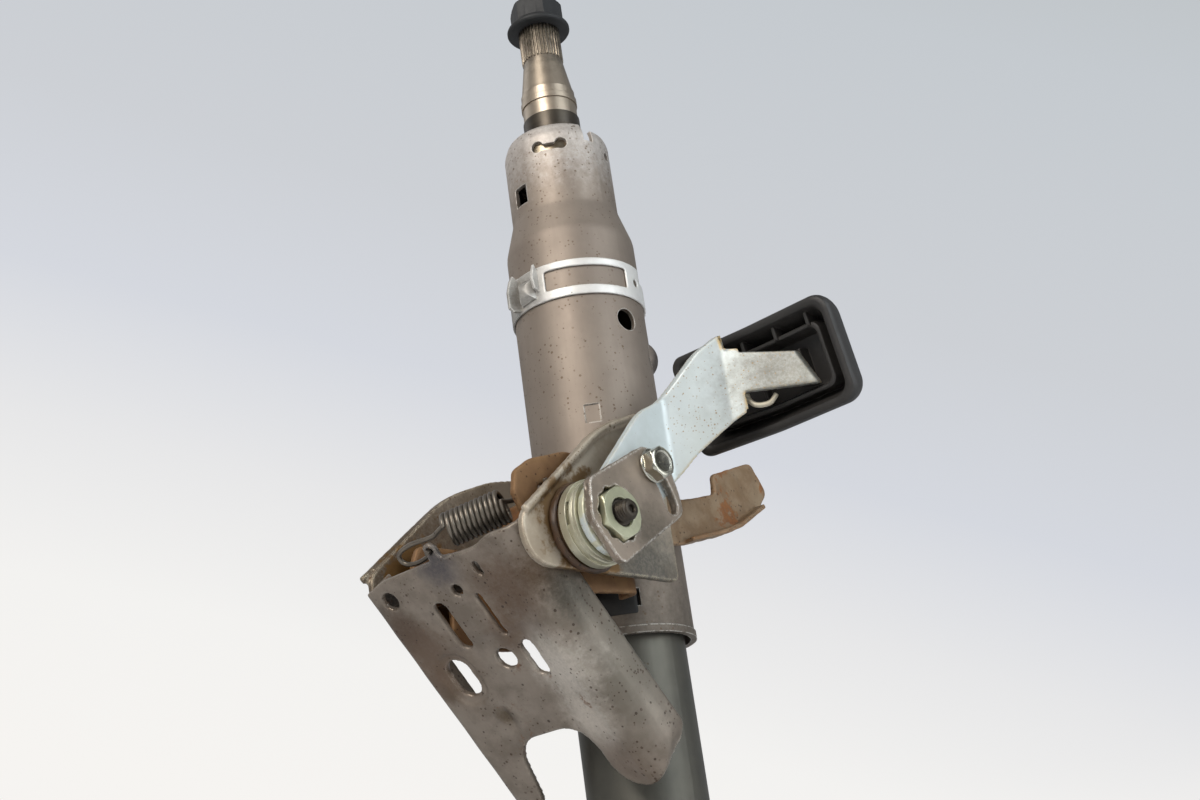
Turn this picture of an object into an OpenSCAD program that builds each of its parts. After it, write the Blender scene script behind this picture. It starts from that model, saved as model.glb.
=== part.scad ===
// Steering column with tilt and reach adjustment
// Z runs along the column with the wheel end up, X runs along the clamp bolt
// The origin is the middle of the lower shaft's free journal, sizes in mm

/* [Clamp and pivot] */
// Height of the clamp bolt above the origin
bolt_z = 270; // [240:1:300]
// Distance of the clamp bolt from the column axis
bolt_y = 66; // [60:1:80]
// Radius of the clamp bolt
bolt_r = 5; // [4:0.25:6]
// Thread that stands out past the clamp nut
thread_out = 4.5; // [3:0.5:12]
// Radius of the thread that stands out past the clamp nut
tip_r = 4.1; // [3:0.1:4.8]
// Height of the tilt pivot above the origin
pivot_z = 70; // [60:1:90]
// Distance of the tilt pivot from the column axis
pivot_y = 40; // [38:1:50]
// Radius of the tilt pivot bore
pivot_r = 5.1; // [4:0.1:7]
// Length of the tilt pivot barrel
pivot_len = 44; // [38:1:60]
// Reach travel of the jacket upward
reach_up = 14; // [5:1:18]
// Reach travel of the jacket downward
reach_down = 6; // [2:1:8]
// Tilt away from the mounting face in degrees
tilt_out = 4.5; // [2:0.1:6]
// Tilt toward the mounting face in degrees
tilt_in = 1; // [0.5:0.1:1.5]

/* [Tubes] */
// Outer radius of the lower tube
tube_r = 24.1; // [20:0.1:28]
// Wall of the lower tube
tube_wall = 2.5; // [1.5:0.1:4]
// Height of the lower end of the lower tube
tube_bottom = 38; // [30:1:44]
// How far the lower tube reaches above the clamp bolt
tube_over = 60; // [40:1:80]
// Wall of the plastic slide sleeve
sleeve_wall = 2.33; // [1.5:0.01:4]
// Length of the plastic slide sleeve
sleeve_len = 86; // [60:1:96]
// Wall of the jacket
jacket_wall = 2; // [1.5:0.1:3]
// How far the jacket hangs below the clamp bolt
jacket_drop = 30; // [25:1:40]
// Length of the wide part of the jacket
jacket_len = 180; // [150:1:220]
// Outer radius of the jacket neck
neck_r = 23.9; // [21:0.1:26]
// Length of the shoulder between jacket and neck
shoulder_len = 16; // [10:1:24]
// Length of the straight neck
neck_len = 34; // [28:1:44]
// Length of the rolled mouth of the neck
mouth_len = 7; // [6:0.5:12]
// Radius of the opening in the mouth
mouth_r = 18.4; // [17:0.1:20]

/* [Shafts] */
// Radius of the lower shaft's free journal
journal_r = 9; // [7:0.1:11]
// Length of the lower shaft's free journal
journal_len = 28; // [20:1:40]
// Radius of the lower shaft
lower_shaft_r = 9.5; // [8:0.1:10]
// Height of the top of the lower shaft
lower_shaft_top = 390; // [350:1:410]
// Radius of the upper shaft
upper_shaft_r = 12.5; // [11.5:0.1:13]
// Height of the lower end of the upper shaft
upper_shaft_bottom = 300; // [280:1:320]
// Radius of the wheel spline over its teeth
spline_r = 9.74; // [8:0.01:12]
// Depth of the spline teeth
spline_depth = 0.6; // [0.3:0.1:1]
// Number of spline teeth
spline_teeth = 36; // [24:1:48]
// Length of the wheel spline
spline_len = 16; // [8:0.5:20]
// Length of the taper under the spline
taper_len = 19; // [10:0.5:26]
// How far the shaft stands out of the mouth below the taper
shaft_out = 26; // [22:0.5:34]
// Radius of the wheel nut's thread
wheel_thread_r = 7; // [6:0.5:8]

/* [Saddle and cheeks] */
// Room between the jacket and each saddle ear
side_room = 6.5; // [4:0.1:12]
// Sheet of the saddle
saddle_t = 3; // [2:0.1:4]
// Room between each saddle ear and its cheek
cheek_room = 6; // [5:0.1:10]
// Sheet of the cheeks
cheek_t = 3; // [2:0.1:4]
// Height of the pressed rim on the cheeks
rim_h = 1.5; // [0.5:0.1:1.8]
// Sheet of the side arm
arm_t = 2.5; // [1.5:0.1:3]

/* [Mounting bracket] */
// Angle between the mounting face and the column axis
face_angle = 40; // [38:1:44]
// Distance of the face's top edge from the clamp bolt across the column
face_out = 33.5; // [32:0.5:40]
// Drop of the face's top edge below the clamp bolt
face_drop = 2; // [0:0.5:5]
// Length of the face
face_len = 112; // [100:1:130]
// Sheet of the mounting bracket
sheet = 2.5; // [1.5:0.1:3]
// Depth of the side flanges
flange_d = 16; // [10:0.5:17]
// Bend radius of the right side flange
flange_bend = 9; // [5:0.5:12]
// Bend radius of the left side flange
left_bend = 2.6; // [2:0.2:6]
// Radius of the mounting bolt hole
bolt_hole_r = 4.5; // [3:0.1:6]
// Radius of the locating hole
locate_hole_r = 3.8; // [2:0.1:5]
// Height of the spring tab above the face's top edge
tab_h = 6.5; // [5:0.5:10]
// Depth of the notch between the two legs
notch_len = 30; // [20:1:40]

/* [Clamp stack] */
// Thickness of a thrust washer
washer_t = 4; // [3:0.1:5]
// Radius of a thrust washer
washer_r = 17; // [12:0.5:17]
// Radius of the cam disc
disc_r = 16.6; // [14:0.1:20]
// Thickness of the cam disc
disc_t = 3.3; // [2:0.1:5]
// Radius of the cam hub
hub_r = 16; // [12:0.5:17]
// Thickness of the cam hub
hub_t = 4.2; // [3:0.1:7]
// Sheet of the clamp lever
lever_t = 3; // [2:0.1:4]
// Radius of the lever's eye round the clamp bolt
eye_r = 14.8; // [12:0.1:16]
// Sheet of the lock plate
lock_t = 3.6; // [2:0.1:4]
// Height of the clamp nut
nut_h = 5.5; // [5:0.5:10]
// Width of the clamp nut across its flats
nut_flats = 18.5; // [14:0.5:19]
// Height of the clamp bolt's head
head_h = 7; // [5:0.5:9]
// Distance of the lever screw from the clamp bolt
screw_reach = 30.5; // [30:0.5:36]

/* [Handle] */
// Width of the handle
handle_w = 79; // [60:1:100]
// Height of the handle
handle_h = 44; // [36:1:56]
// Depth of the handle
handle_d = 16; // [12:0.5:24]
// Wall of the handle at its rim
handle_wall = 3.4; // [2:0.1:5]

/* [Spring] */
// Outer radius of the spring's coils
spring_r = 6.7; // [5:0.1:8]
// Radius of the spring wire
wire_r = 1; // [0.7:0.1:1.2]
// Number of coils
spring_turns = 12; // [8:1:14]

/* [Bearings] */
// Width of each bearing
bearing_w = 12; // [9:0.5:15]
// Balls in each bearing
ball_count = 11; // [8:1:12]

/* [Clearances] */
// Running gap between a shaft and its bore
run_gap = 0.07; // [0.03:0.01:0.1]
// Gap between pieces that slip past each other
slip_gap = 0.3; // [0.2:0.05:0.5]
// Gap under pieces that are seated on each other
seat_gap = 0.05; // [0.02:0.01:0.1]

/* [Hidden] */
$fn = 64;
corner_steps = 6;

// Jacket over sleeve over lower tube
jacket_in = tube_r + seat_gap + sleeve_wall + run_gap;
jacket_r = jacket_in + jacket_wall;
jacket_z = bolt_z - jacket_drop;
shoulder_z = jacket_z + jacket_len;
neck_z = shoulder_z + shoulder_len;
mouth_z = neck_z + neck_len + mouth_len;
tube_top = bolt_z + tube_over;
sleeve_z = tube_top - sleeve_len;

// Plates across the column, from the jacket outward
ear_in = jacket_r + side_room;
ear_out = ear_in + saddle_t;
cheek_in = ear_out + cheek_room;
cheek_out = cheek_in + cheek_t;
washer_x = cheek_out + slip_gap;
disc_x = washer_x + washer_t;
hub_x = disc_x + disc_t;
lever_x = hub_x + hub_t + slip_gap;
lock_x = lever_x + lever_t;
nut_x = lock_x;
nut_top = nut_x + nut_h;
bolt_end = nut_top + thread_out;

// Hole in the right ear for the spring's upper hook
hook_y = -bolt_y - 9;
hook_z = bolt_z + 17;

// Mounting face, with its top edge as the local origin
face_y = -bolt_y - face_out;
face_z = bolt_z - face_drop;

// Tilt slots follow the bolt's arc round the pivot
arc_r = norm([bolt_y - pivot_y, bolt_z - pivot_z]);
arc_angle = atan2(bolt_z - pivot_z, pivot_y - bolt_y);

// Shaft heights
shaft_z = mouth_z + shaft_out;
spline_z = shaft_z + taper_len;
nut_z = spline_z + spline_len;
upper_bearing_z = neck_z + neck_len - bearing_w - 3;
lower_bearing_z = tube_bottom + tube_wall + 4;
nut_flange_r = 2.12 * wheel_thread_r;

// Handle frame
handle_x = lever_x + 29.3;
handle_y = -bolt_y + 68;
handle_z = bolt_z + 56.5;
handle_lean = 14;

// Direction helpers
function unit(v) = v / norm(v);
function turn(u, v) = atan2(u.x * v.y - u.y * v.x, u * v);
function reversed(p) = [for (i = [len(p) - 1:-1:0]) p[i]];

// Arc of radius r that rounds the corner b between a and c
function corner(a, b, c, r) =
    let (u = unit(b - a), k = turn(u, unit(c - b)), s = sign(k))
    let (o = b - u * r * abs(tan(k / 2)) + s * r * [-u.y, u.x])
    (r <= 0 || abs(k) < 0.5) ? [b] :
    [for (i = [0:corner_steps]) let (q = i / corner_steps * k)
        o - s * r * [-u.y * cos(q) - u.x * sin(q), u.x * cos(q) - u.y * sin(q)]];

// Closed outline with a radius for each corner
function rounded(p, r) = [for (i = [0:len(p) - 1])
    each corner(p[(i + len(p) - 1) % len(p)], p[i], p[(i + 1) % len(p)], r[i])];

// Open path with a radius for each inner corner
function bent(p, r) = [p[0], for (i = [1:1:len(p) - 2]) each corner(p[i - 1], p[i], p[i + 1], r[i - 1]),
    p[len(p) - 1]];

// Path moved sideways by d with mitred corners
function shifted(p, d) = [for (i = [0:len(p) - 1])
    let (u = i > 0 ? unit(p[i] - p[i - 1]) : unit(p[1] - p[0]))
    let (v = i < len(p) - 1 ? unit(p[i + 1] - p[i]) : u)
    let (m = [-u.y, u.x], n = [-v.y, v.x]) p[i] + d * (m + n) / (1 + m * n)];

// Bend radii on a side that lies d from the middle of the sheet
function side_radii(p, r, d) = [for (i = [1:1:len(p) - 2])
    max(0.1, r[i - 1] - sign(turn(p[i] - p[i - 1], p[i + 1] - p[i])) * d)];

// Outline of a bent sheet of thickness t along path p
function strip(p, r, t) = concat(bent(shifted(p, t / 2), side_radii(p, r, t / 2)),
    reversed(bent(shifted(p, -t / 2), side_radii(p, r, -t / 2))));

// Points given from the clamp bolt, in the Y Z plane
function from_bolt(p) = [for (q = p) [q.x - bolt_y, q.y + bolt_z]];

// Extrudes a Y Z outline along X from x0
module across(x0, h) {
    translate([x0, 0, 0]) rotate([90, 0, 90]) linear_extrude(h) children();
}

// Cylinder along X through a Y Z point
module pin_x(r, x0, x1, y, z) {
    translate([x0, y, z]) rotate([0, 90, 0]) cylinder(r = r, h = x1 - x0);
}

// Ring along X round the clamp bolt
module bolt_ring(ro, ri, x0, h) {
    difference() {
        pin_x(ro, x0, x0 + h, -bolt_y, bolt_z);
        pin_x(ri, x0 - 1, x0 + h + 1, -bolt_y, bolt_z);
    }
}

// Ring along the column axis
module ring(ro, ri, z0, h) {
    translate([0, 0, z0]) difference() {
        cylinder(r = ro, h = h);
        translate([0, 0, -1]) cylinder(r = ri, h = h + 2);
    }
}

// Hexagon across flats f
module hexagon(f) {
    circle(r = f / sqrt(3), $fn = 6);
}

// Places children on the mounting face, Y down the face and Z into the bracket
module on_face() {
    translate([0, face_y, face_z]) rotate([face_angle - 90, 0, 0]) children();
}

// Round ended slot in the face, centred on x, from t0 to t1 over its ends
module face_slot(x, t0, t1, w, z0, h) {
    translate([x, t0 + w / 2, z0]) cylinder(d = w, h = h);
    translate([x, t1 - w / 2, z0]) cylinder(d = w, h = h);
    translate([x - w / 2, t0 + w / 2, z0]) cube([w, t1 - t0 - w, h]);
}

// Round ended slot of half width w along an arc of radius r
function arc_slot(r, a0, a1, w) = concat(
    [for (i = [0:8]) let (a = a0 + (a1 - a0) * i / 8) (r + w) * [cos(a), sin(a)]],
    [for (i = [1:11]) r * [cos(a1), sin(a1)] + w * [cos(a1 + 15 * i), sin(a1 + 15 * i)]],
    [for (i = [0:8]) let (a = a1 + (a0 - a1) * i / 8) (r - w) * [cos(a), sin(a)]],
    [for (i = [1:11]) r * [cos(a0), sin(a0)] + w * [cos(a0 + 180 + 15 * i), sin(a0 + 180 + 15 * i)]]);

// Cuts a slot for the bolt along its tilt arc
module tilt_slot(x0, h) {
    across(x0, h) translate([-pivot_y, pivot_z])
        polygon(arc_slot(arc_r, arc_angle - tilt_out, arc_angle + tilt_in, bolt_r + slip_gap));
}

// Radial place on the jacket at an angle and a height
module on_jacket(a, z) {
    translate([0, 0, z]) rotate([0, 0, a]) rotate([0, 90, 0]) children();
}

// Pressed channel that bolts to the vehicle
module mounting_bracket() {
    mid = cheek_in - sheet / 2;
    leg_in = 15;
    leg_out = -23;
    leg_tip = -30;
    notch = face_len - notch_len;
    outline = [[-cheek_in, 3], [-30, 0], [-1.4, 0.5], [-1.4, -tab_h], [4.2, -tab_h], [4.2, 0.5], [22, 2],
        [30, -1], [cheek_in, 1], [cheek_in, face_len], [leg_in, face_len], [leg_in, notch],
        [leg_out, notch], [leg_tip, face_len], [-cheek_in, face_len]];
    color("dimgray") on_face() difference() {
        union() {
            intersection() {
                translate([0, face_len, 0]) rotate([90, 0, 0]) linear_extrude(face_len + tab_h)
                    polygon(strip([[-mid, flange_d], [-mid, sheet / 2], [mid, sheet / 2],
                        [mid, flange_d]], [left_bend, flange_bend], sheet));
                translate([0, 0, -1]) linear_extrude(flange_d + 2)
                    polygon(rounded(outline, [2, 20, 1, 2.7, 2.7, 1, 20, 20, 2, 14, 13, 14, 14, 5, 7]));
                // Flanges rounded off at their lower ends
                translate([-cheek_out, 0, 0]) rotate([90, 0, 90]) linear_extrude(2 * cheek_out)
                    polygon(rounded([[-tab_h - 1, -2], [face_len + 1, -2], [face_len + 1, 2],
                        [face_len - 11, flange_d + 1], [-tab_h - 1, flange_d + 1]], [0, 0, 0, 12, 0]));
            }
            // Pressed dish round the oval hole
            face_slot(-26, 37, 62, 19, sheet - 0.4, 1.2);
        }
        face_slot(-26, 37.5, 61.5, 18, -1, 1.8);
        translate([1, 47.3, -2]) cylinder(r = bolt_hole_r, h = sheet + 4);
        translate([-32.7, 8.7, -2]) cylinder(r = locate_hole_r, h = sheet + 4);
        translate([1.4, 14.7, -2]) cylinder(r = 2.6, h = sheet + 4);
        translate([1.4, -3.4, -2]) cylinder(r = wire_r + 0.5, h = sheet + 4);
        face_slot(-12, 16.4, 38.4, 6, -2, sheet + 4);
        face_slot(9, 18.7, 38.3, 2.7, -2, sheet + 4);
        face_slot(17.3, 6.6, 12.9, 3, -2, sheet + 4);
        face_slot(-26, 41, 58, 11, -2, sheet + 4);
        face_slot(14.2, 42.8, 58.6, 7.4, -2, sheet + 4);
    }
}

// Plate with the tilt slot and a pressed rim along its upper edge
module cheek(front) {
    outline = concat(from_bolt([[-31, 2], [16, 43.5], [42, 53.5], [66, 58], [66, 36], [50, 26], [50, -16]]),
        from_bolt([[front, -16]]));
    edge = from_bolt([[-29, 3.6], [16.6, 41.9], [42.5, 51.9], [63, 55.8]]);
    difference() {
        union() {
            across(cheek_in, cheek_t) polygon(rounded(outline, [10, 60, 60, 4, 8, 8, 3, 12]));
            across(cheek_out - 1, rim_h + 1) polygon(strip(edge, [60, 60], 3));
        }
        tilt_slot(cheek_in - 1, cheek_t + rim_h + 2);
    }
}

module right_cheek() {
    color("gray") cheek(-29);
}

// The left plate is trimmed along the mounting face
module left_cheek() {
    color("gray") mirror([1, 0, 0]) cheek(-16);
}

// Folded saddle on the jacket, with reach slots in both ears
module saddle_bracket() {
    mid = ear_in + saddle_t / 2;
    web = jacket_r - 1 + saddle_t / 2;
    w = bolt_r + slip_gap;
    back = bolt_y - jacket_r + 4;
    outline = from_bolt([[-24, 14], [-22, 23], [-14, 28.5], [4, 34], [back, 36], [back, -18.6],
        [14, -20.6], [0, -24], [-11, -10]]);
    low_ear = from_bolt([[-13, 8], [-9, 17], [back - 9, 17], [back, 22], [back, -24], [0, -24],
        [-11, -10]]);
    color("saddlebrown") difference() {
        intersection() {
            translate([0, 0, bolt_z - 40]) linear_extrude(90)
                polygon(strip([[-mid, -bolt_y - 30], [-mid, -web], [mid, -web], [mid, -bolt_y - 30]],
                    [5, 5], saddle_t));
            union() {
                across(2 - ear_in, ear_in + ear_out)
                    polygon(rounded(outline, [3, 4, 10, 20, 0, 0, 10, 8, 8]));
                across(-ear_out - 1, saddle_t + 4)
                    polygon(rounded(low_ear, [8, 5, 5, 0, 0, 8, 8]));
            }
        }
        translate([8 - ear_in, -web - 4, bolt_z - 41]) cube([2 * ear_in - 16, 14, 29]);
        for (z = [-reach_up, reach_down])
            pin_x(w, -ear_out - 1, ear_out + 1, -bolt_y, bolt_z + z);
        translate([-ear_out - 1, -bolt_y - w, bolt_z - reach_up])
            cube([2 * ear_out + 2, 2 * w, reach_up + reach_down]);
        translate([0, 0, jacket_z]) cylinder(r = jacket_r + seat_gap, h = jacket_len);
        pin_x(wire_r + 1.2, ear_in - 1, ear_out + 1, hook_y, hook_z);
    }
}

// Arm welded to the outside of the right ear, with a turned lip
module side_arm() {
    outline = from_bolt([[18, 2], [63, 2], [86, 8], [98, 12], [117, 23], [125, 32], [117, 45], [90, 36],
        [89, 27], [68, 22], [18, 22]]);
    lip = from_bolt([[64, 3.4], [85.5, 9], [97, 13], [115, 23.5]]);
    color("peru") {
        across(ear_out, arm_t) polygon(rounded(outline, [3, 30, 30, 20, 3, 4, 4, 3, 3, 10, 3]));
        across(ear_out + arm_t - 0.5, 6) polygon(strip(lip, [20, 20], 2));
    }
}

// Jacket tube, swaged down to the neck and rolled in at the mouth
module jacket_tube() {
    half = jacket_wall / 2;
    path = [[jacket_r - half, jacket_z], [jacket_r - half, shoulder_z], [neck_r - half, neck_z],
        [neck_r - half, neck_z + neck_len], [neck_r - half - 2, mouth_z - half - 0.7],
        [mouth_r, mouth_z - half]];
    neck_window = neck_z + neck_len - 5.5;
    color("silver") difference() {
        union() {
            rotate_extrude() polygon(strip(path, [14, 14, 8, 3], jacket_wall));
            ring(jacket_r + 0.6, jacket_r - 1, jacket_z, 3);
            // Pressed dimple that stops the band from turning
            intersection() {
                on_jacket(44, jacket_z + 125) translate([0, 0, jacket_r - 6]) sphere(r = 9);
                ring(jacket_r + 9, jacket_r - 1, jacket_z + 110, 30);
            }
        }
        // Double window in the neck
        for (a = [-67, -41])
            on_jacket(a, neck_window) cylinder(r = 2.8, h = neck_r + 5);
        translate([0, 0, neck_window - 2.5]) rotate([0, 0, -67]) rotate_extrude(angle = 26)
            translate([neck_r - jacket_wall - 2, 0]) square([jacket_wall + 6, 3.2]);
        // Square window in the neck
        on_jacket(-97, neck_z + 9) translate([-4.5, -4, neck_r - 8]) cube([9, 8, 20]);
        // Notch in the mouth
        on_jacket(-7.8, mouth_z) translate([-5, -2.5, mouth_r - 5]) cube([15.4, 5, 20]);
        // Lip left straight beside the notch
        translate([0, 0, mouth_z - 4.3]) rotate([0, 0, -4]) rotate_extrude(angle = 44)
            translate([mouth_r - 4, 0]) square([12, 10]);
        on_jacket(22, neck_window - 2) cylinder(r = 2.2, h = neck_r + 5);
        on_jacket(-3, shoulder_z - 43.5) cylinder(r = 5, h = jacket_r + 5);
        // Shallow pressed flat
        on_jacket(-48, shoulder_z - 86.5) translate([-4, -3.2, jacket_r - 0.6]) cube([8, 6.4, 5]);
        // Window that shows the sleeve
        translate([0, 0, jacket_z + 11]) rotate([0, 0, -67]) rotate_extrude(angle = 36)
            translate([jacket_in - 2, 0]) square([jacket_wall + 6, 7]);
    }
}

// Strap clamp with a long window and a folded ear
module band_clamp() {
    low = shoulder_z - 32.6;
    tall = 17;
    inner = jacket_r + seat_gap;
    outer = inner + 1;
    color("lightgray") difference() {
        union() {
            ring(outer, inner, low, tall);
            // Buckle of two folded lugs and the tongue between them
            intersection() {
                union() {
                    on_jacket(-104, low + 9) translate([-8, -0.8, inner]) cube([16, 1.6, 8]);
                    on_jacket(-79, low + 9) translate([-7, -0.8, inner]) cube([13, 1.6, 8]);
                    on_jacket(-92, low + 9) translate([-4.5, -7, inner - 2]) cube([9, 14, 9]);
                }
                ring(outer + 5, inner, low, tall + 1.5);
            }
        }
        // Long window
        translate([0, 0, low + 4.3]) rotate([0, 0, -73]) rotate_extrude(angle = 75)
            translate([inner - 1, 0]) square([4, 9.1]);
        // Narrower strap round the back
        translate([0, 0, low + 10.5]) rotate([0, 0, 24]) rotate_extrude(angle = 224)
            translate([inner - 1, 0]) square([4, 10]);
        on_jacket(16, low + tall / 2) cylinder(r = 1.8, h = outer + 5);
        on_jacket(-92, low + 9) translate([-6, -5, outer]) cube([12, 10, 2.2]);
    }
}

// Bearing sizes between a bore and a shaft
function pitch_r(bore, shaft) = (bore + shaft) / 2;
function ball_r(bore, shaft) = (bore - shaft) * 0.23;

module bearing_race(bore, shaft, z0, outside) {
    p = pitch_r(bore, shaft);
    b = ball_r(bore, shaft);
    ro = outside ? bore - seat_gap : p - 0.45 * b;
    ri = outside ? p + 0.45 * b : shaft + seat_gap;
    translate([0, 0, z0]) rotate_extrude() difference() {
        translate([ri, 0]) square([ro - ri, bearing_w]);
        translate([p, bearing_w / 2]) circle(r = b + run_gap);
    }
}

module bearing_balls(bore, shaft, z0) {
    for (i = [0:ball_count - 1])
        rotate([0, 0, i * 360 / ball_count]) translate([pitch_r(bore, shaft), 0, z0 + bearing_w / 2])
            sphere(r = ball_r(bore, shaft));
}

module upper_bearing_outer() {
    color("slategray") bearing_race(neck_r - jacket_wall, upper_shaft_r, upper_bearing_z, true);
}

module upper_bearing_inner() {
    color("slategray") bearing_race(neck_r - jacket_wall, upper_shaft_r, upper_bearing_z, false);
}

module upper_balls() {
    color("white") bearing_balls(neck_r - jacket_wall, upper_shaft_r, upper_bearing_z);
}

module lower_bearing_outer() {
    color("slategray") bearing_race(tube_r - tube_wall, lower_shaft_r, lower_bearing_z, true);
}

module lower_bearing_inner() {
    color("slategray") bearing_race(tube_r - tube_wall, lower_shaft_r, lower_bearing_z, false);
}

module lower_balls() {
    color("white") bearing_balls(tube_r - tube_wall, lower_shaft_r, lower_bearing_z);
}

// Outline of the spline teeth
function teeth(r, d, n) = [for (i = [0:n - 1], k = [0:3]) let (a = 360 / n * (i + [0, 0.3, 0.5, 0.8][k]))
    (k < 2 ? r : r - d) * [cos(a), sin(a)]];

// Upper shaft, hollow below, with taper, spline and thread at the wheel end
module upper_shaft() {
    bore = lower_shaft_r + run_gap;
    bore_end = lower_shaft_top + reach_down + 30;
    color("darkgray") {
        difference() {
            union() {
                translate([0, 0, upper_shaft_bottom])
                    cylinder(r = upper_shaft_r, h = shaft_z - upper_shaft_bottom);
                translate([0, 0, shaft_z])
                    cylinder(r1 = upper_shaft_r - 0.3, r2 = spline_r - spline_depth - 0.1, h = taper_len);
            }
            translate([0, 0, upper_shaft_bottom - 1])
                cylinder(r = bore, h = bore_end - upper_shaft_bottom + 1);
        }
        translate([0, 0, spline_z - 0.5]) linear_extrude(spline_len + 0.5)
            polygon(teeth(spline_r, spline_depth, spline_teeth));
        translate([0, 0, nut_z]) cylinder(r = wheel_thread_r, h = 19);
    }
}

// Flanged hexagon nut
module wheel_nut() {
    color("black") translate([0, 0, nut_z]) difference() {
        union() {
            cylinder(r = nut_flange_r, h = 2);
            translate([0, 0, 2]) cylinder(r1 = nut_flange_r, r2 = 1.7 * wheel_thread_r, h = 2.5);
            linear_extrude(15) hexagon(3.14 * wheel_thread_r);
        }
        translate([0, 0, -1]) cylinder(r = wheel_thread_r + seat_gap, h = 20);
    }
}

module seal_ring() {
    color("black") ring(upper_shaft_r + 0.6, upper_shaft_r + seat_gap, mouth_z + 0.6, 11);
}

module spring_washer() {
    color("lightgray") ring(upper_shaft_r + 0.5, upper_shaft_r + seat_gap, mouth_z + 19, 3);
}

// Lower tube with a turned in end that keeps the bearing
module lower_tube() {
    half = tube_wall / 2;
    path = [[tube_r - half, tube_top], [tube_r - half, tube_bottom + half],
        [lower_shaft_r + 6, tube_bottom + half]];
    color("slategray") rotate_extrude() polygon(strip(path, [4], tube_wall));
}

module slide_sleeve() {
    color("black") ring(tube_r + seat_gap + sleeve_wall, tube_r + seat_gap, sleeve_z, sleeve_len);
}

barrel_r = pivot_r + 4.9;

// Folded bracket that carries the pivot barrel on the lower tube
module pivot_bracket() {
    outline = [[-13, -13], [-13, 13], [pivot_y - 10, 32], [pivot_y - 10, -30]];
    side = pivot_len / 2 - 7;
    color("dimgray") difference() {
        union() {
            for (x = [-side, side - 3])
                across(x, 3) translate([-pivot_y, pivot_z]) polygon(rounded(outline, [12, 12, 0, 0]));
            translate([1 - side, -tube_r - 4.6, pivot_z - 20]) cube([2 * side - 2, 2.5, 40]);
        }
        pin_x(barrel_r + seat_gap, -pivot_len, pivot_len, -pivot_y, pivot_z);
        cylinder(r = tube_r + seat_gap, h = pivot_z + 60);
    }
}

module pivot_barrel() {
    color("gray") difference() {
        pin_x(barrel_r, -pivot_len / 2, pivot_len / 2, -pivot_y, pivot_z);
        pin_x(barrel_r - 2, -pivot_len, pivot_len, -pivot_y, pivot_z);
    }
}

module pivot_bush() {
    color("black") difference() {
        pin_x(barrel_r - 2 - seat_gap, -pivot_len / 2 - 1, pivot_len / 2 + 1, -pivot_y, pivot_z);
        pin_x(pivot_r, -pivot_len, pivot_len, -pivot_y, pivot_z);
    }
}

// Lower shaft with a free journal for the universal joint
module lower_shaft() {
    color("darkgray") {
        translate([0, 0, -journal_len / 2]) cylinder(r = journal_r, h = journal_len);
        translate([0, 0, journal_len / 2]) cylinder(r = lower_shaft_r, h = lower_shaft_top - journal_len / 2);
    }
}

module clamp_bolt() {
    far = -washer_x - washer_t;
    color("dimgray") {
        pin_x(bolt_r, far - 1, nut_top, -bolt_y, bolt_z);
        pin_x(tip_r, nut_top - 1, bolt_end, -bolt_y, bolt_z);
        across(far - head_h, head_h) translate([-bolt_y, bolt_z]) hexagon(nut_flats);
    }
}

module thrust_washers() {
    color("sienna") for (x = [washer_x, -washer_x - washer_t])
        difference() {
            union() {
                pin_x(washer_r - 1.2, x, x + washer_t, -bolt_y, bolt_z);
                pin_x(washer_r, x < 0 ? x + washer_t / 2 : x, x < 0 ? x + washer_t : x + washer_t / 2,
                    -bolt_y, bolt_z);
            }
            pin_x(bolt_r + seat_gap, x - 1, x + washer_t + 1, -bolt_y, bolt_z);
        }
}

module slide_spacers() {
    gap = cheek_room - 2 * slip_gap;
    color("dimgray") for (x = [ear_out + slip_gap, -ear_out - slip_gap - gap])
        bolt_ring(bolt_r + 1.8, bolt_r + seat_gap, x, gap);
}

module cam_disc() {
    color("darkkhaki") bolt_ring(disc_r, bolt_r + seat_gap, disc_x, disc_t);
}

// Cam hub with a waist between two rims and three ramp pockets toward the disc
module cam_hub() {
    ramp = [4, 9, 1.2];
    color("darkkhaki") translate([hub_x, -bolt_y, bolt_z]) rotate([0, 90, 0]) difference() {
        rotate_extrude() difference() {
            translate([bolt_r + seat_gap, 0]) square([hub_r - bolt_r - seat_gap, hub_t]);
            translate([hub_r, hub_t * 0.6]) circle(r = hub_t * 0.12);
        }
        for (a = [-96, 24, 144]) rotate(a) translate([hub_r - ramp.x / 2, -ramp.y / 2, -1])
            cube([ramp.x, ramp.y, ramp.z + 1]);
    }
}

// Angle and place of the lever screw
screw_angle = 44;
screw_y = -bolt_y + screw_reach * cos(screw_angle);
screw_z = bolt_z + screw_reach * sin(screw_angle);

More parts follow.
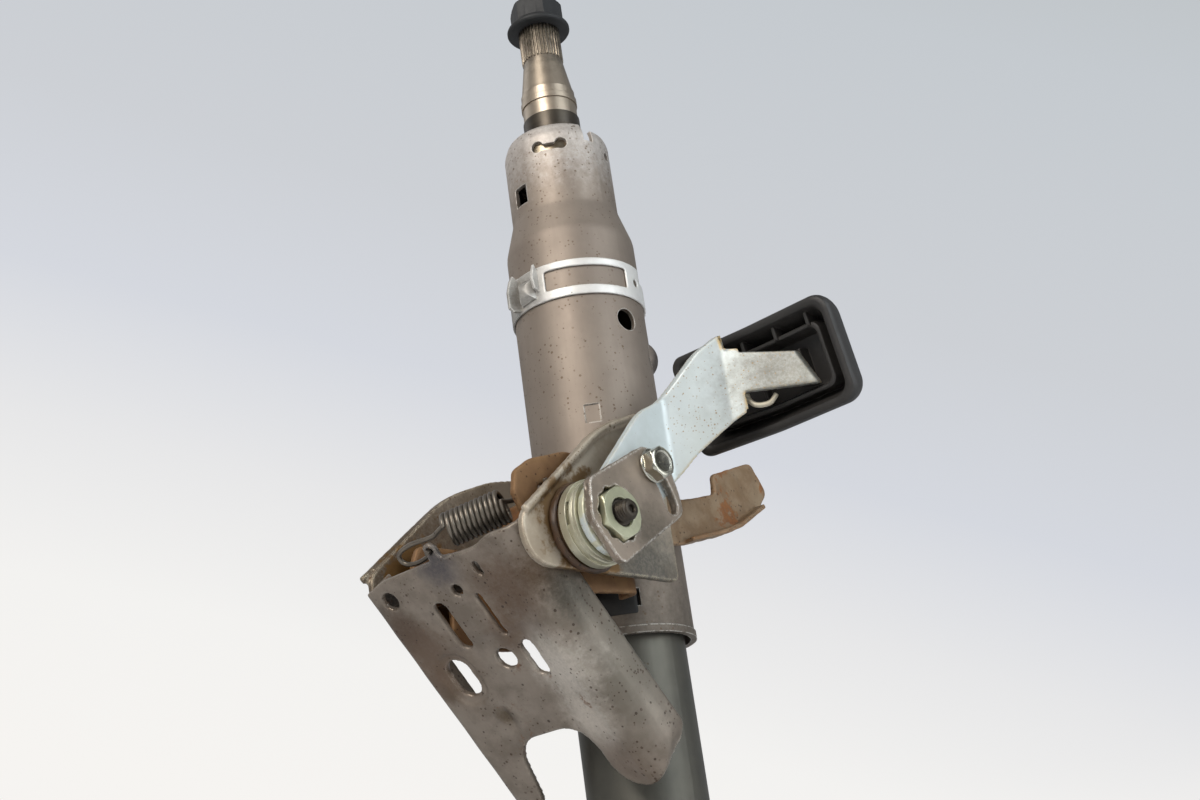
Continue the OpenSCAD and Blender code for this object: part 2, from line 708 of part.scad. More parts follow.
// Clamp lever, bent twice and ending in a tongue for the handle
module clamp_lever() {
    mid = lever_x + lever_t / 2;
    path = [[mid, -bolt_y - 24], [mid, -bolt_y + 39], [mid + 19, -bolt_y + 58],
        [mid + 52.3, -bolt_y + 75]];
    plate = from_bolt([[-12, 2], [-7.5, 11], [24.5, 45.6], [38.5, 52.4], [50.5, 70.8], [56.6, 76.3],
        [60, 76], [60, 42.3], [46.6, 29], [39.7, 19.4], [30, 10], [10, -11.5], [-9, -11.5]]);
    tongue = [[mid + 14, 69], [mid + 20, 69], [mid + 45.5, 62.5], [mid + 51.5, 47.5], [mid + 20, 51.4],
        [mid + 14, 51.4]];
    color("lightsteelblue") difference() {
        intersection() {
            translate([0, 0, bolt_z - 40]) linear_extrude(140) polygon(strip(path, [6, 5], lever_t));
            union() {
                across(0, 2 * lever_x)
                    polygon(rounded(plate, [8, 4, 30, 20, 20, 2, 1, 2, 30, 30, 30, 9, 9]));
                pin_x(eye_r, 0, 2 * lever_x, -bolt_y, bolt_z);
                translate([0, 40, bolt_z]) rotate([90, 0, 0]) linear_extrude(80) polygon(tongue);
            }
        }
        pin_x(bolt_r + slip_gap, lever_x - 1, lock_x + 1, -bolt_y, bolt_z);
        pin_x(3 + seat_gap, lever_x - 1, lock_x + 1, screw_y, screw_z);
    }
}

// Plate that keys the clamp nut to the lever
module lock_plate() {
    outline = from_bolt([[-13, 12], [-14.4, -3], [-3, -17.5], [0, -18.5], [32, 1.3], [36.4, 4.6],
        [35, 13], [31, 25], [19, 29]]);
    color("rosybrown") difference() {
        across(lock_x, lock_t) polygon(rounded(outline, [4, 6, 4, 3, 6, 5, 10, 6, 5]));
        for (a = [0, 30])
            across(lock_x - 1, lock_t + 2) translate([-bolt_y, bolt_z]) rotate(a)
                hexagon(nut_flats + 2 * slip_gap);
        across(lock_x - 1, lock_t + 2) translate([-bolt_y, bolt_z])
            polygon(arc_slot(screw_reach, 12, screw_angle, 3.2));
    }
}

module clamp_nut() {
    color("darkkhaki") difference() {
        across(nut_x, nut_h) translate([-bolt_y, bolt_z]) hexagon(nut_flats);
        pin_x(bolt_r + run_gap, nut_x - 1, nut_x + nut_h + 1, -bolt_y, bolt_z);
    }
}

// Hexagon screw with a flange, through the lock plate into the lever
module lever_screw() {
    top = lock_x + lock_t;
    color("whitesmoke") {
        pin_x(3, lever_x, top + 1, screw_y, screw_z);
        pin_x(6.8, top, top + 1.2, screw_y, screw_z);
        across(top + 1, 5) translate([screw_y, screw_z]) hexagon(11.5);
    }
}

// Outline of the handle, drawn in by d
function handle_outline(d) = let (w = handle_w / 2 - d, h = handle_h / 2 - d)
    rounded([[-w, 3 - h], [0, -h], [w, -h], [w, h], [0, h], [-w, h - 3]],
        [7 - d / 3, 150, 7 - d / 3, 7 - d / 3, 150, 7 - d / 3]);

// Dished handle with an open back, pocket ribs and a seat for the tongue
module lever_handle() {
    inner = handle_h / 2 - handle_wall - 5;
    floor_d = handle_d - 3;
    color("black") translate([handle_x, handle_y, handle_z]) rotate([handle_lean - 90, 0, 0]) {
        difference() {
            hull() {
                linear_extrude(3) polygon(handle_outline(0));
                linear_extrude(handle_d) polygon(handle_outline(5));
            }
            hull() {
                translate([0, 0, -1]) linear_extrude(2) polygon(handle_outline(handle_wall));
                translate([0, 0, -1]) linear_extrude(floor_d + 1) polygon(handle_outline(handle_wall + 4));
            }
        }
        // Rib that the lever's tongue rests on
        translate([16.2, -6, 6.4]) cube([1.6, 15, floor_d - 5.8]);
        // Inner walls along both long sides
        for (s = [-1, 1])
            translate([-handle_w / 2 + 12, s * inner - 0.8, 3.5]) cube([handle_w - 22, 1.6, floor_d - 3]);
        // Pocket ribs along the upper side
        for (i = [0:3])
            translate([-handle_w / 2 + 18 + i * 16, -handle_h / 2 + 3, 3]) cube([1.6, 7, floor_d - 2.5]);
    }
}

// Row point at x across, t down and n into the mounting face
function face_point(x, t, n) = [x, face_y + t * sin(face_angle) + n * cos(face_angle),
    face_z - t * cos(face_angle) + n * sin(face_angle)];

// Direction of path p at point i
function along(p, i) = unit(p[min(i + 1, len(p) - 1)] - p[max(i - 1, 0)]);

// Sideways directions carried along path p without twisting
function carried(p, start) = [for (i = 0, u = start; i < len(p);
    i = i + 1, u = let (d = along(p, min(i, len(p) - 1))) unit(u - (u * d) * d)) u];

// Round wire of radius r swept along path p
module wire(p, r, sides) {
    first = along(p, 0);
    across_u = carried(p, unit(cross(first, [0.31, 0.17, 0.93])));
    rings = [for (i = [0:len(p) - 1]) let (d = along(p, i))
        let (u = unit(across_u[i] - (across_u[i] * d) * d), v = cross(d, u))
        for (k = [0:sides - 1]) p[i] + r * (cos(360 * k / sides) * u + sin(360 * k / sides) * v)];
    walls = [for (i = [0:len(p) - 2], k = [0:sides - 1]) let (a = i * sides, b = (k + 1) % sides)
        [a + k, a + sides + k, a + sides + b, a + b]];
    ends = [[for (k = [0:sides - 1]) k], [for (k = [sides - 1:-1:0]) (len(p) - 1) * sides + k]];
    polyhedron(points = rings, faces = concat(walls, ends));
}

// Tension spring, hooked in the bracket tab and in the right saddle ear
module balance_spring() {
    tab_hook = face_point(-11, -8, sheet / 2);
    ear_hook = [ear_in + saddle_t / 2, hook_y, hook_z];
    span = ear_hook - tab_hook;
    axis = unit(span);
    side = unit(cross(axis, [0, 0, 1]));
    lift = cross(side, axis);
    coil = spring_r - wire_r;
    pitch = 2.12 * wire_r;
    low = tab_hook + axis * (0.52 * norm(span) - spring_turns * pitch / 2);
    steps = 14 * spring_turns;
    helix = [for (i = [0:steps]) let (a = 360 * i / 14)
        low + axis * pitch * i / 14 + coil * (cos(a) * side + sin(a) * lift)];
    top = low + axis * pitch * spring_turns;
    tab_end = [face_point(1.6, -3.6, -1.6), face_point(1.4, -3.4, sheet / 2),
        face_point(0.9, -3.1, sheet + 1.4), face_point(-1.4, -2.2, sheet + 2.2),
        face_point(-5, -0.6, sheet + 2.4), face_point(-12, 0.2, sheet + 2.4),
        face_point(-17.6, -0.9, sheet + 2.4), face_point(-19.4, -3.6, sheet + 2.4),
        face_point(-17.6, -6.2, sheet + 2.6),
        face_point(-11, -7.2, sheet + 3.4), low - axis * 7, low - axis * 3.4 + side * coil * 0.5];
    ear_end = [top + axis * 2.6 + side * coil * 0.4, ear_hook - [6, 0.5, 0.5], ear_hook - [2.4, 0, 0],
        ear_hook + [2.4, 0, 0], ear_hook + [4, -0.6, 0.8], ear_hook + [4.6, -1.6, 3]];
    color("darkslategray") wire(concat(tab_end, helix, ear_end), wire_r, 6);
}

mounting_bracket();
left_cheek();
right_cheek();
balance_spring();
jacket_tube();
saddle_bracket();
side_arm();
band_clamp();
upper_bearing_outer();
upper_bearing_inner();
upper_balls();
upper_shaft();
wheel_nut();
seal_ring();
spring_washer();
lower_tube();
slide_sleeve();
pivot_bracket();
pivot_barrel();
pivot_bush();
lower_bearing_outer();
lower_bearing_inner();
lower_balls();
lower_shaft();
clamp_bolt();
thrust_washers();
slide_spacers();
cam_disc();
cam_hub();
clamp_lever();
lock_plate();
clamp_nut();
lever_screw();
lever_handle();
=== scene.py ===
import math

import bmesh
import bpy
from mathutils import Matrix, Vector, noise


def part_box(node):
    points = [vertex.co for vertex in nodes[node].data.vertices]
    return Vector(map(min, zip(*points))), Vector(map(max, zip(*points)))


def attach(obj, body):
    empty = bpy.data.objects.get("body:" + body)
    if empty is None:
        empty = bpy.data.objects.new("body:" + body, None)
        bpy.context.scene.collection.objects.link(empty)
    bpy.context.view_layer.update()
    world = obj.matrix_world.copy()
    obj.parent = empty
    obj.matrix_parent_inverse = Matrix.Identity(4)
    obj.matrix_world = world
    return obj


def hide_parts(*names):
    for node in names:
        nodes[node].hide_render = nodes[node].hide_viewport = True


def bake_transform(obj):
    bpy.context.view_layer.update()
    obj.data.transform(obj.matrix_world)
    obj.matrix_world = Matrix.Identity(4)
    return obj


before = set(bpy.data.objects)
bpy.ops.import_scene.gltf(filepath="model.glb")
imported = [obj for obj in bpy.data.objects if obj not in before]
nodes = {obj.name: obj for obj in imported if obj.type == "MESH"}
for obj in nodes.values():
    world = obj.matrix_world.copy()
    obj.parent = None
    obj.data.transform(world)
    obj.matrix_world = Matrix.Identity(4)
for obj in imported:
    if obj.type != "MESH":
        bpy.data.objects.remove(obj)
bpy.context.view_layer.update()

scene = bpy.context.scene
mm = 0.001
boltY, boltZ = -66.0, 270.0  # the clamp bolt's axis


# colours are written as they look, 0 to 255
def tint(r, g, b):
    return tuple(((c / 255 + 0.055) / 1.055) ** 2.4 if c > 10 else c / 3295 for c in (r, g, b)) + (1.0,)


# sockets are named, or numbered as i0, i1 and so on
def fill(tree, node, sockets):
    for key, value in sockets.items():
        plug = node.inputs[int(key[1:])] if key[0] == "i" and key[1:].isdigit() else node.inputs[key]
        if isinstance(value, bpy.types.NodeSocket):
            tree.links.new(value, plug)
        else:
            plug.default_value = value
    return node


def put(tree, kind, settings=None, **sockets):
    node = tree.nodes.new(kind)
    for key, value in (settings or {}).items():
        setattr(node, key, value)
    return fill(tree, node, sockets)


def maths(tree, operation, a, b=0.0, clamp=False):
    return put(tree, "ShaderNodeMath", {"operation": operation, "use_clamp": clamp}, i0=a, i1=b).outputs[0]


def times(tree, a, b):
    return maths(tree, "MULTIPLY", a, b)


def vectorValue(tree, operation, **sockets):
    return put(tree, "ShaderNodeVectorMath", {"operation": operation}, **sockets).outputs["Value"]


def spread(tree, value, low, high, toLow=0.0, toHigh=1.0, smooth=True):
    kind = {"interpolation_type": "SMOOTHSTEP" if smooth else "LINEAR"}
    return put(tree, "ShaderNodeMapRange", kind, i0=value, i1=low, i2=high, i3=toLow, i4=toHigh).outputs[0]


def blendColours(tree, mask, a, b):
    return put(tree, "ShaderNodeMix", {"data_type": "RGBA"}, i0=mask, i6=a, i7=b).outputs[2]


def cloudy(tree, place, scale, detail, rough=0.5, twist=0.0):
    sockets = dict(Vector=place, Scale=scale, Detail=detail, Roughness=rough, Distortion=twist)
    return put(tree, "ShaderNodeTexNoise", **sockets).outputs[0]


def newGroup(name, inputs, outputs):
    group = bpy.data.node_groups.new(name, "ShaderNodeTree")
    for label in inputs + outputs:
        kind = "NodeSocketVector" if label in ("Vector", "Place") else "NodeSocketFloat"
        way = "INPUT" if label in inputs else "OUTPUT"
        group.interface.new_socket(name=label, in_out=way, socket_type=kind)
    return group, group.nodes.new("NodeGroupInput").outputs, group.nodes.new("NodeGroupOutput").inputs


def useGroup(tree, group, **sockets):
    node = tree.nodes.new("ShaderNodeGroup")
    node.node_tree = group
    return fill(tree, node, sockets).outputs


# soft patches of a second tone
patches, gin, gout = newGroup("patches", ["Vector", "Scale", "Low", "High"], ["Mask"])
cloud = cloudy(patches, gin["Vector"], gin["Scale"], 5.0, 0.62)
patches.links.new(spread(patches, cloud, gin["Low"], gin["High"]), gout["Mask"])

# rust that gathers in blooms and breaks up at their edges
bloomForm = dict(finer=7.0, wide=0.6, fine=0.4, start=0.72, run=0.34, edge=0.07)
rustBloom, gin, gout = newGroup("rustBloom", ["Vector", "Scale", "Amount"], ["Mask", "Tone"])
wide = cloudy(rustBloom, gin["Vector"], gin["Scale"], 3.0, 0.55)
fine = cloudy(rustBloom, gin["Vector"], times(rustBloom, gin["Scale"], bloomForm["finer"]), 6.0, 0.7, 0.4)
both = times(rustBloom, fine, bloomForm["fine"])
both = maths(rustBloom, "ADD", times(rustBloom, wide, bloomForm["wide"]), both)
edge = maths(rustBloom, "SUBTRACT", bloomForm["start"], times(rustBloom, gin["Amount"], bloomForm["run"]))
solid = maths(rustBloom, "ADD", edge, bloomForm["edge"])
rustBloom.links.new(spread(rustBloom, both, edge, solid), gout["Mask"])
rustBloom.links.new(spread(rustBloom, fine, 0.3, 0.7), gout["Tone"])

# small round pits and specks of dirt
speckForm = dict(rare=3.0, finer=3.0, wobble=0.12, edge=0.06)
specks, gin, gout = newGroup("specks", ["Vector", "Scale", "Amount"], ["Mask"])
cell = put(specks, "ShaderNodeTexVoronoi", Vector=gin["Vector"], Scale=gin["Scale"], Randomness=1.0)
pick = put(specks, "ShaderNodeSeparateColor", i0=cell.outputs["Color"])
size = times(specks, maths(specks, "POWER", pick.outputs[0], speckForm["rare"]), gin["Amount"])
wobble = cloudy(specks, gin["Vector"], times(specks, gin["Scale"], speckForm["finer"]), 3.0)
far = maths(specks, "ADD", cell.outputs["Distance"], times(specks, wobble, speckForm["wobble"]))
specks.links.new(spread(specks, maths(specks, "SUBTRACT", far, size), speckForm["edge"], 0.0), gout["Mask"])

# drawn or rolled grain, stretched by the vector that comes in
grain, gin, gout = newGroup("grain", ["Vector", "Scale"], ["Value"])
lines = cloudy(grain, gin["Vector"], gin["Scale"], 6.0, 0.68)
grain.links.new(spread(grain, lines, 0.3, 0.7, smooth=False), gout["Value"])

# worn or dirty edges, from the angle between the rounded and the true normal
rubForm = dict(turn=(0.02, 0.14), bite=(0.34, 0.52))
edgeRub, gin, gout = newGroup("edgeRub", ["Vector", "Radius", "Breakup"], ["Mask"])
soft = put(edgeRub, "ShaderNodeBevel", {"samples": 6}, Radius=gin["Radius"]).outputs[0]
true = put(edgeRub, "ShaderNodeNewGeometry").outputs["Normal"]
turned = maths(edgeRub, "SUBTRACT", 1.0, vectorValue(edgeRub, "DOT_PRODUCT", i0=soft, i1=true))
bite = spread(edgeRub, cloudy(edgeRub, gin["Vector"], gin["Breakup"], 4.0), *rubForm["bite"])
edgeRub.links.new(times(edgeRub, spread(edgeRub, turned, *rubForm["turn"]), bite), gout["Mask"])

# grease thrown round the clamp bolt
smearForm = dict(scale=140.0, reach=30.0, edge=0.8)
boltGrease, gin, gout = newGroup("boltGrease", ["Vector", "Reach"], ["Mask"])
axes = put(boltGrease, "ShaderNodeSeparateXYZ", i0=gin["Vector"])
dy = maths(boltGrease, "SUBTRACT", axes.outputs[1], boltY * mm)
dz = maths(boltGrease, "SUBTRACT", axes.outputs[2], boltZ * mm)
away = maths(boltGrease, "SQRT", maths(boltGrease, "ADD", times(boltGrease, dy, dy), times(boltGrease, dz, dz)))
smear = maths(boltGrease, "SUBTRACT", cloudy(boltGrease, gin["Vector"], smearForm["scale"], 5.0, 0.65), 0.5)
ragged = maths(boltGrease, "ADD", away, times(boltGrease, smear, smearForm["reach"] * mm))
inner = times(boltGrease, gin["Reach"], smearForm["edge"])
boltGrease.links.new(spread(boltGrease, ragged, gin["Reach"], inner), gout["Mask"])

# a ragged, mottled patch round one place, for real stained patches and for painted shade and painted highlights
stainAndLightForm = dict(scale=260.0, fray=0.9, edge=(1.2, 0.2), mottleScale=800.0, mottle=(0.36, 0.6, 0.8, 1.0))
stainsAndPaintedLight, gin, gout = newGroup("stainsAndPaintedLight", ["Vector", "Place", "Reach"], ["Mask"])
gap = vectorValue(stainsAndPaintedLight, "DISTANCE", i0=gin["Vector"], i1=gin["Place"])
frayed = maths(stainsAndPaintedLight, "SUBTRACT", cloudy(stainsAndPaintedLight, gin["Vector"], stainAndLightForm["scale"], 7.0, 0.7), 0.5)
reached = maths(stainsAndPaintedLight, "DIVIDE", gap, gin["Reach"])
reached = maths(stainsAndPaintedLight, "ADD", reached, times(stainsAndPaintedLight, frayed, stainAndLightForm["fray"]))
mottled = cloudy(stainsAndPaintedLight, gin["Vector"], stainAndLightForm["mottleScale"], 4.0, 0.75)
mottled = spread(stainsAndPaintedLight, mottled, *stainAndLightForm["mottle"])
stainsAndPaintedLight.links.new(times(stainsAndPaintedLight, spread(stainsAndPaintedLight, reached, *stainAndLightForm["edge"]), mottled), gout["Mask"])

# what a finish takes where its own entry says nothing
usual = dict(stretch=(1, 1, 1), toneScale=45, toneEdge=(0.36, 0.66), streak=0.3, grainBump=0.25, edgeRadius=0.9,
    edgeBreakup=420, edgeAmount=1.0, speckScale=420, speckAmount=0.28, speckDepth=0.75, speckPit=0.5,
    pepperAmount=0.46, pepperDepth=0.75, pepperPit=0.4, pepperPatch=70, pepperEdge=(0.38, 0.56), rustScale=60,
    rustDepth=0.85, rustRough=0.28, rustLift=0.6, rustMetal=0.25, greaseDepth=0.8, greaseShine=0.12, round=0.4,
    bump=0.35, relief=0.3)


# one finish from its sizes: ground colour, second tone, stained patches with painted shade and highlights,
# edges, dirt, rust and grease
def makeFinish(name, own):
    look = {**usual, "streakColour": own["tone"], **own}
    material = bpy.data.materials.new(name)
    material.use_nodes = True
    tree = material.node_tree
    here = put(tree, "ShaderNodeTexCoord").outputs["Object"]
    along = put(tree, "ShaderNodeMapping", Vector=here, Scale=look["stretch"]).outputs[0]
    lines = useGroup(tree, grain, Vector=along, Scale=look["grainScale"])["Value"]

    def patchy(scale, low, high):
        return useGroup(tree, patches, Vector=here, Scale=scale, Low=low, High=high)["Mask"]

    def dotted(scale, amount):
        return useGroup(tree, specks, Vector=here, Scale=scale, Amount=amount)["Mask"]

    def cover(mask, depth, shade):
        return blendColours(tree, times(tree, mask, depth), colour, shade)

    tone = patchy(look["toneScale"], *look["toneEdge"])
    colour = blendColours(tree, tone, tint(*look["colour"]), tint(*look["tone"]))
    colour = cover(lines, look["streak"], tint(*look["streakColour"]))
    rough = spread(tree, lines, 0.0, 1.0, *look["rough"], False)
    height = times(tree, lines, look["grainBump"])
    metal = look["metal"]
    # spots are stained patches, and on some finishes painted shade and painted highlights
    for place, reach, shade, depth in look.get("spot", ()):
        stainAndLightMask = useGroup(tree, stainsAndPaintedLight, Vector=here, Place=Vector(place) * mm, Reach=reach * mm)["Mask"]
        colour = cover(stainAndLightMask, depth, tint(*shade))
    if "edge" in look:
        radius, breakup = look["edgeRadius"] * mm, look["edgeBreakup"]
        rub = useGroup(tree, edgeRub, Vector=here, Radius=radius, Breakup=breakup)["Mask"]
        colour = cover(rub, look["edgeAmount"], tint(*look["edge"]))
    if "speck" in look:
        dots = dotted(look["speckScale"], look["speckAmount"])
        colour = cover(dots, look["speckDepth"], tint(*look["speck"]))
        height = maths(tree, "SUBTRACT", height, times(tree, dots, look["speckPit"]))
    if "pepper" in look:
        pepper = dotted(look["pepperScale"], look["pepperAmount"])
        pepper = times(tree, pepper, patchy(look["pepperPatch"], *look["pepperEdge"]))
        colour = cover(pepper, look["pepperDepth"], tint(*look["pepper"]))
        height = maths(tree, "SUBTRACT", height, times(tree, pepper, look["pepperPit"]))
    if "rust" in look:
        bloom = useGroup(tree, rustBloom, Vector=here, Scale=look["rustScale"], Amount=look["rustAmount"])
        mask, shades = bloom["Mask"], (look["rust"], look.get("rustTone", look["rust"]))
        colour = cover(mask, look["rustDepth"], blendColours(tree, bloom["Tone"], *(tint(*s) for s in shades)))
        rough = maths(tree, "ADD", rough, times(tree, mask, look["rustRough"]), clamp=True)
        height = maths(tree, "ADD", height, times(tree, times(tree, mask, bloom["Tone"]), look["rustLift"]))
        metal = spread(tree, mask, 0.0, 1.0, metal, metal * look["rustMetal"], False)
    if "grease" in look:
        film = useGroup(tree, boltGrease, Vector=here, Reach=look["greaseReach"] * mm)["Mask"]
        colour = cover(film, look["greaseDepth"], tint(*look["grease"]))
        rough = maths(tree, "SUBTRACT", rough, times(tree, film, look["greaseShine"]), clamp=True)
    softEdge = put(tree, "ShaderNodeBevel", {"samples": 4}, Radius=look["round"] * mm).outputs[0]
    uneven = dict(Height=height, Normal=softEdge, Strength=look["bump"], Distance=look["relief"] * mm)
    normal = put(tree, "ShaderNodeBump", **uneven).outputs[0]
    shader = {"Base Color": colour, "Roughness": rough, "Metallic": metal, "Normal": normal}
    fill(tree, tree.nodes["Principled BSDF"], shader)
    return material
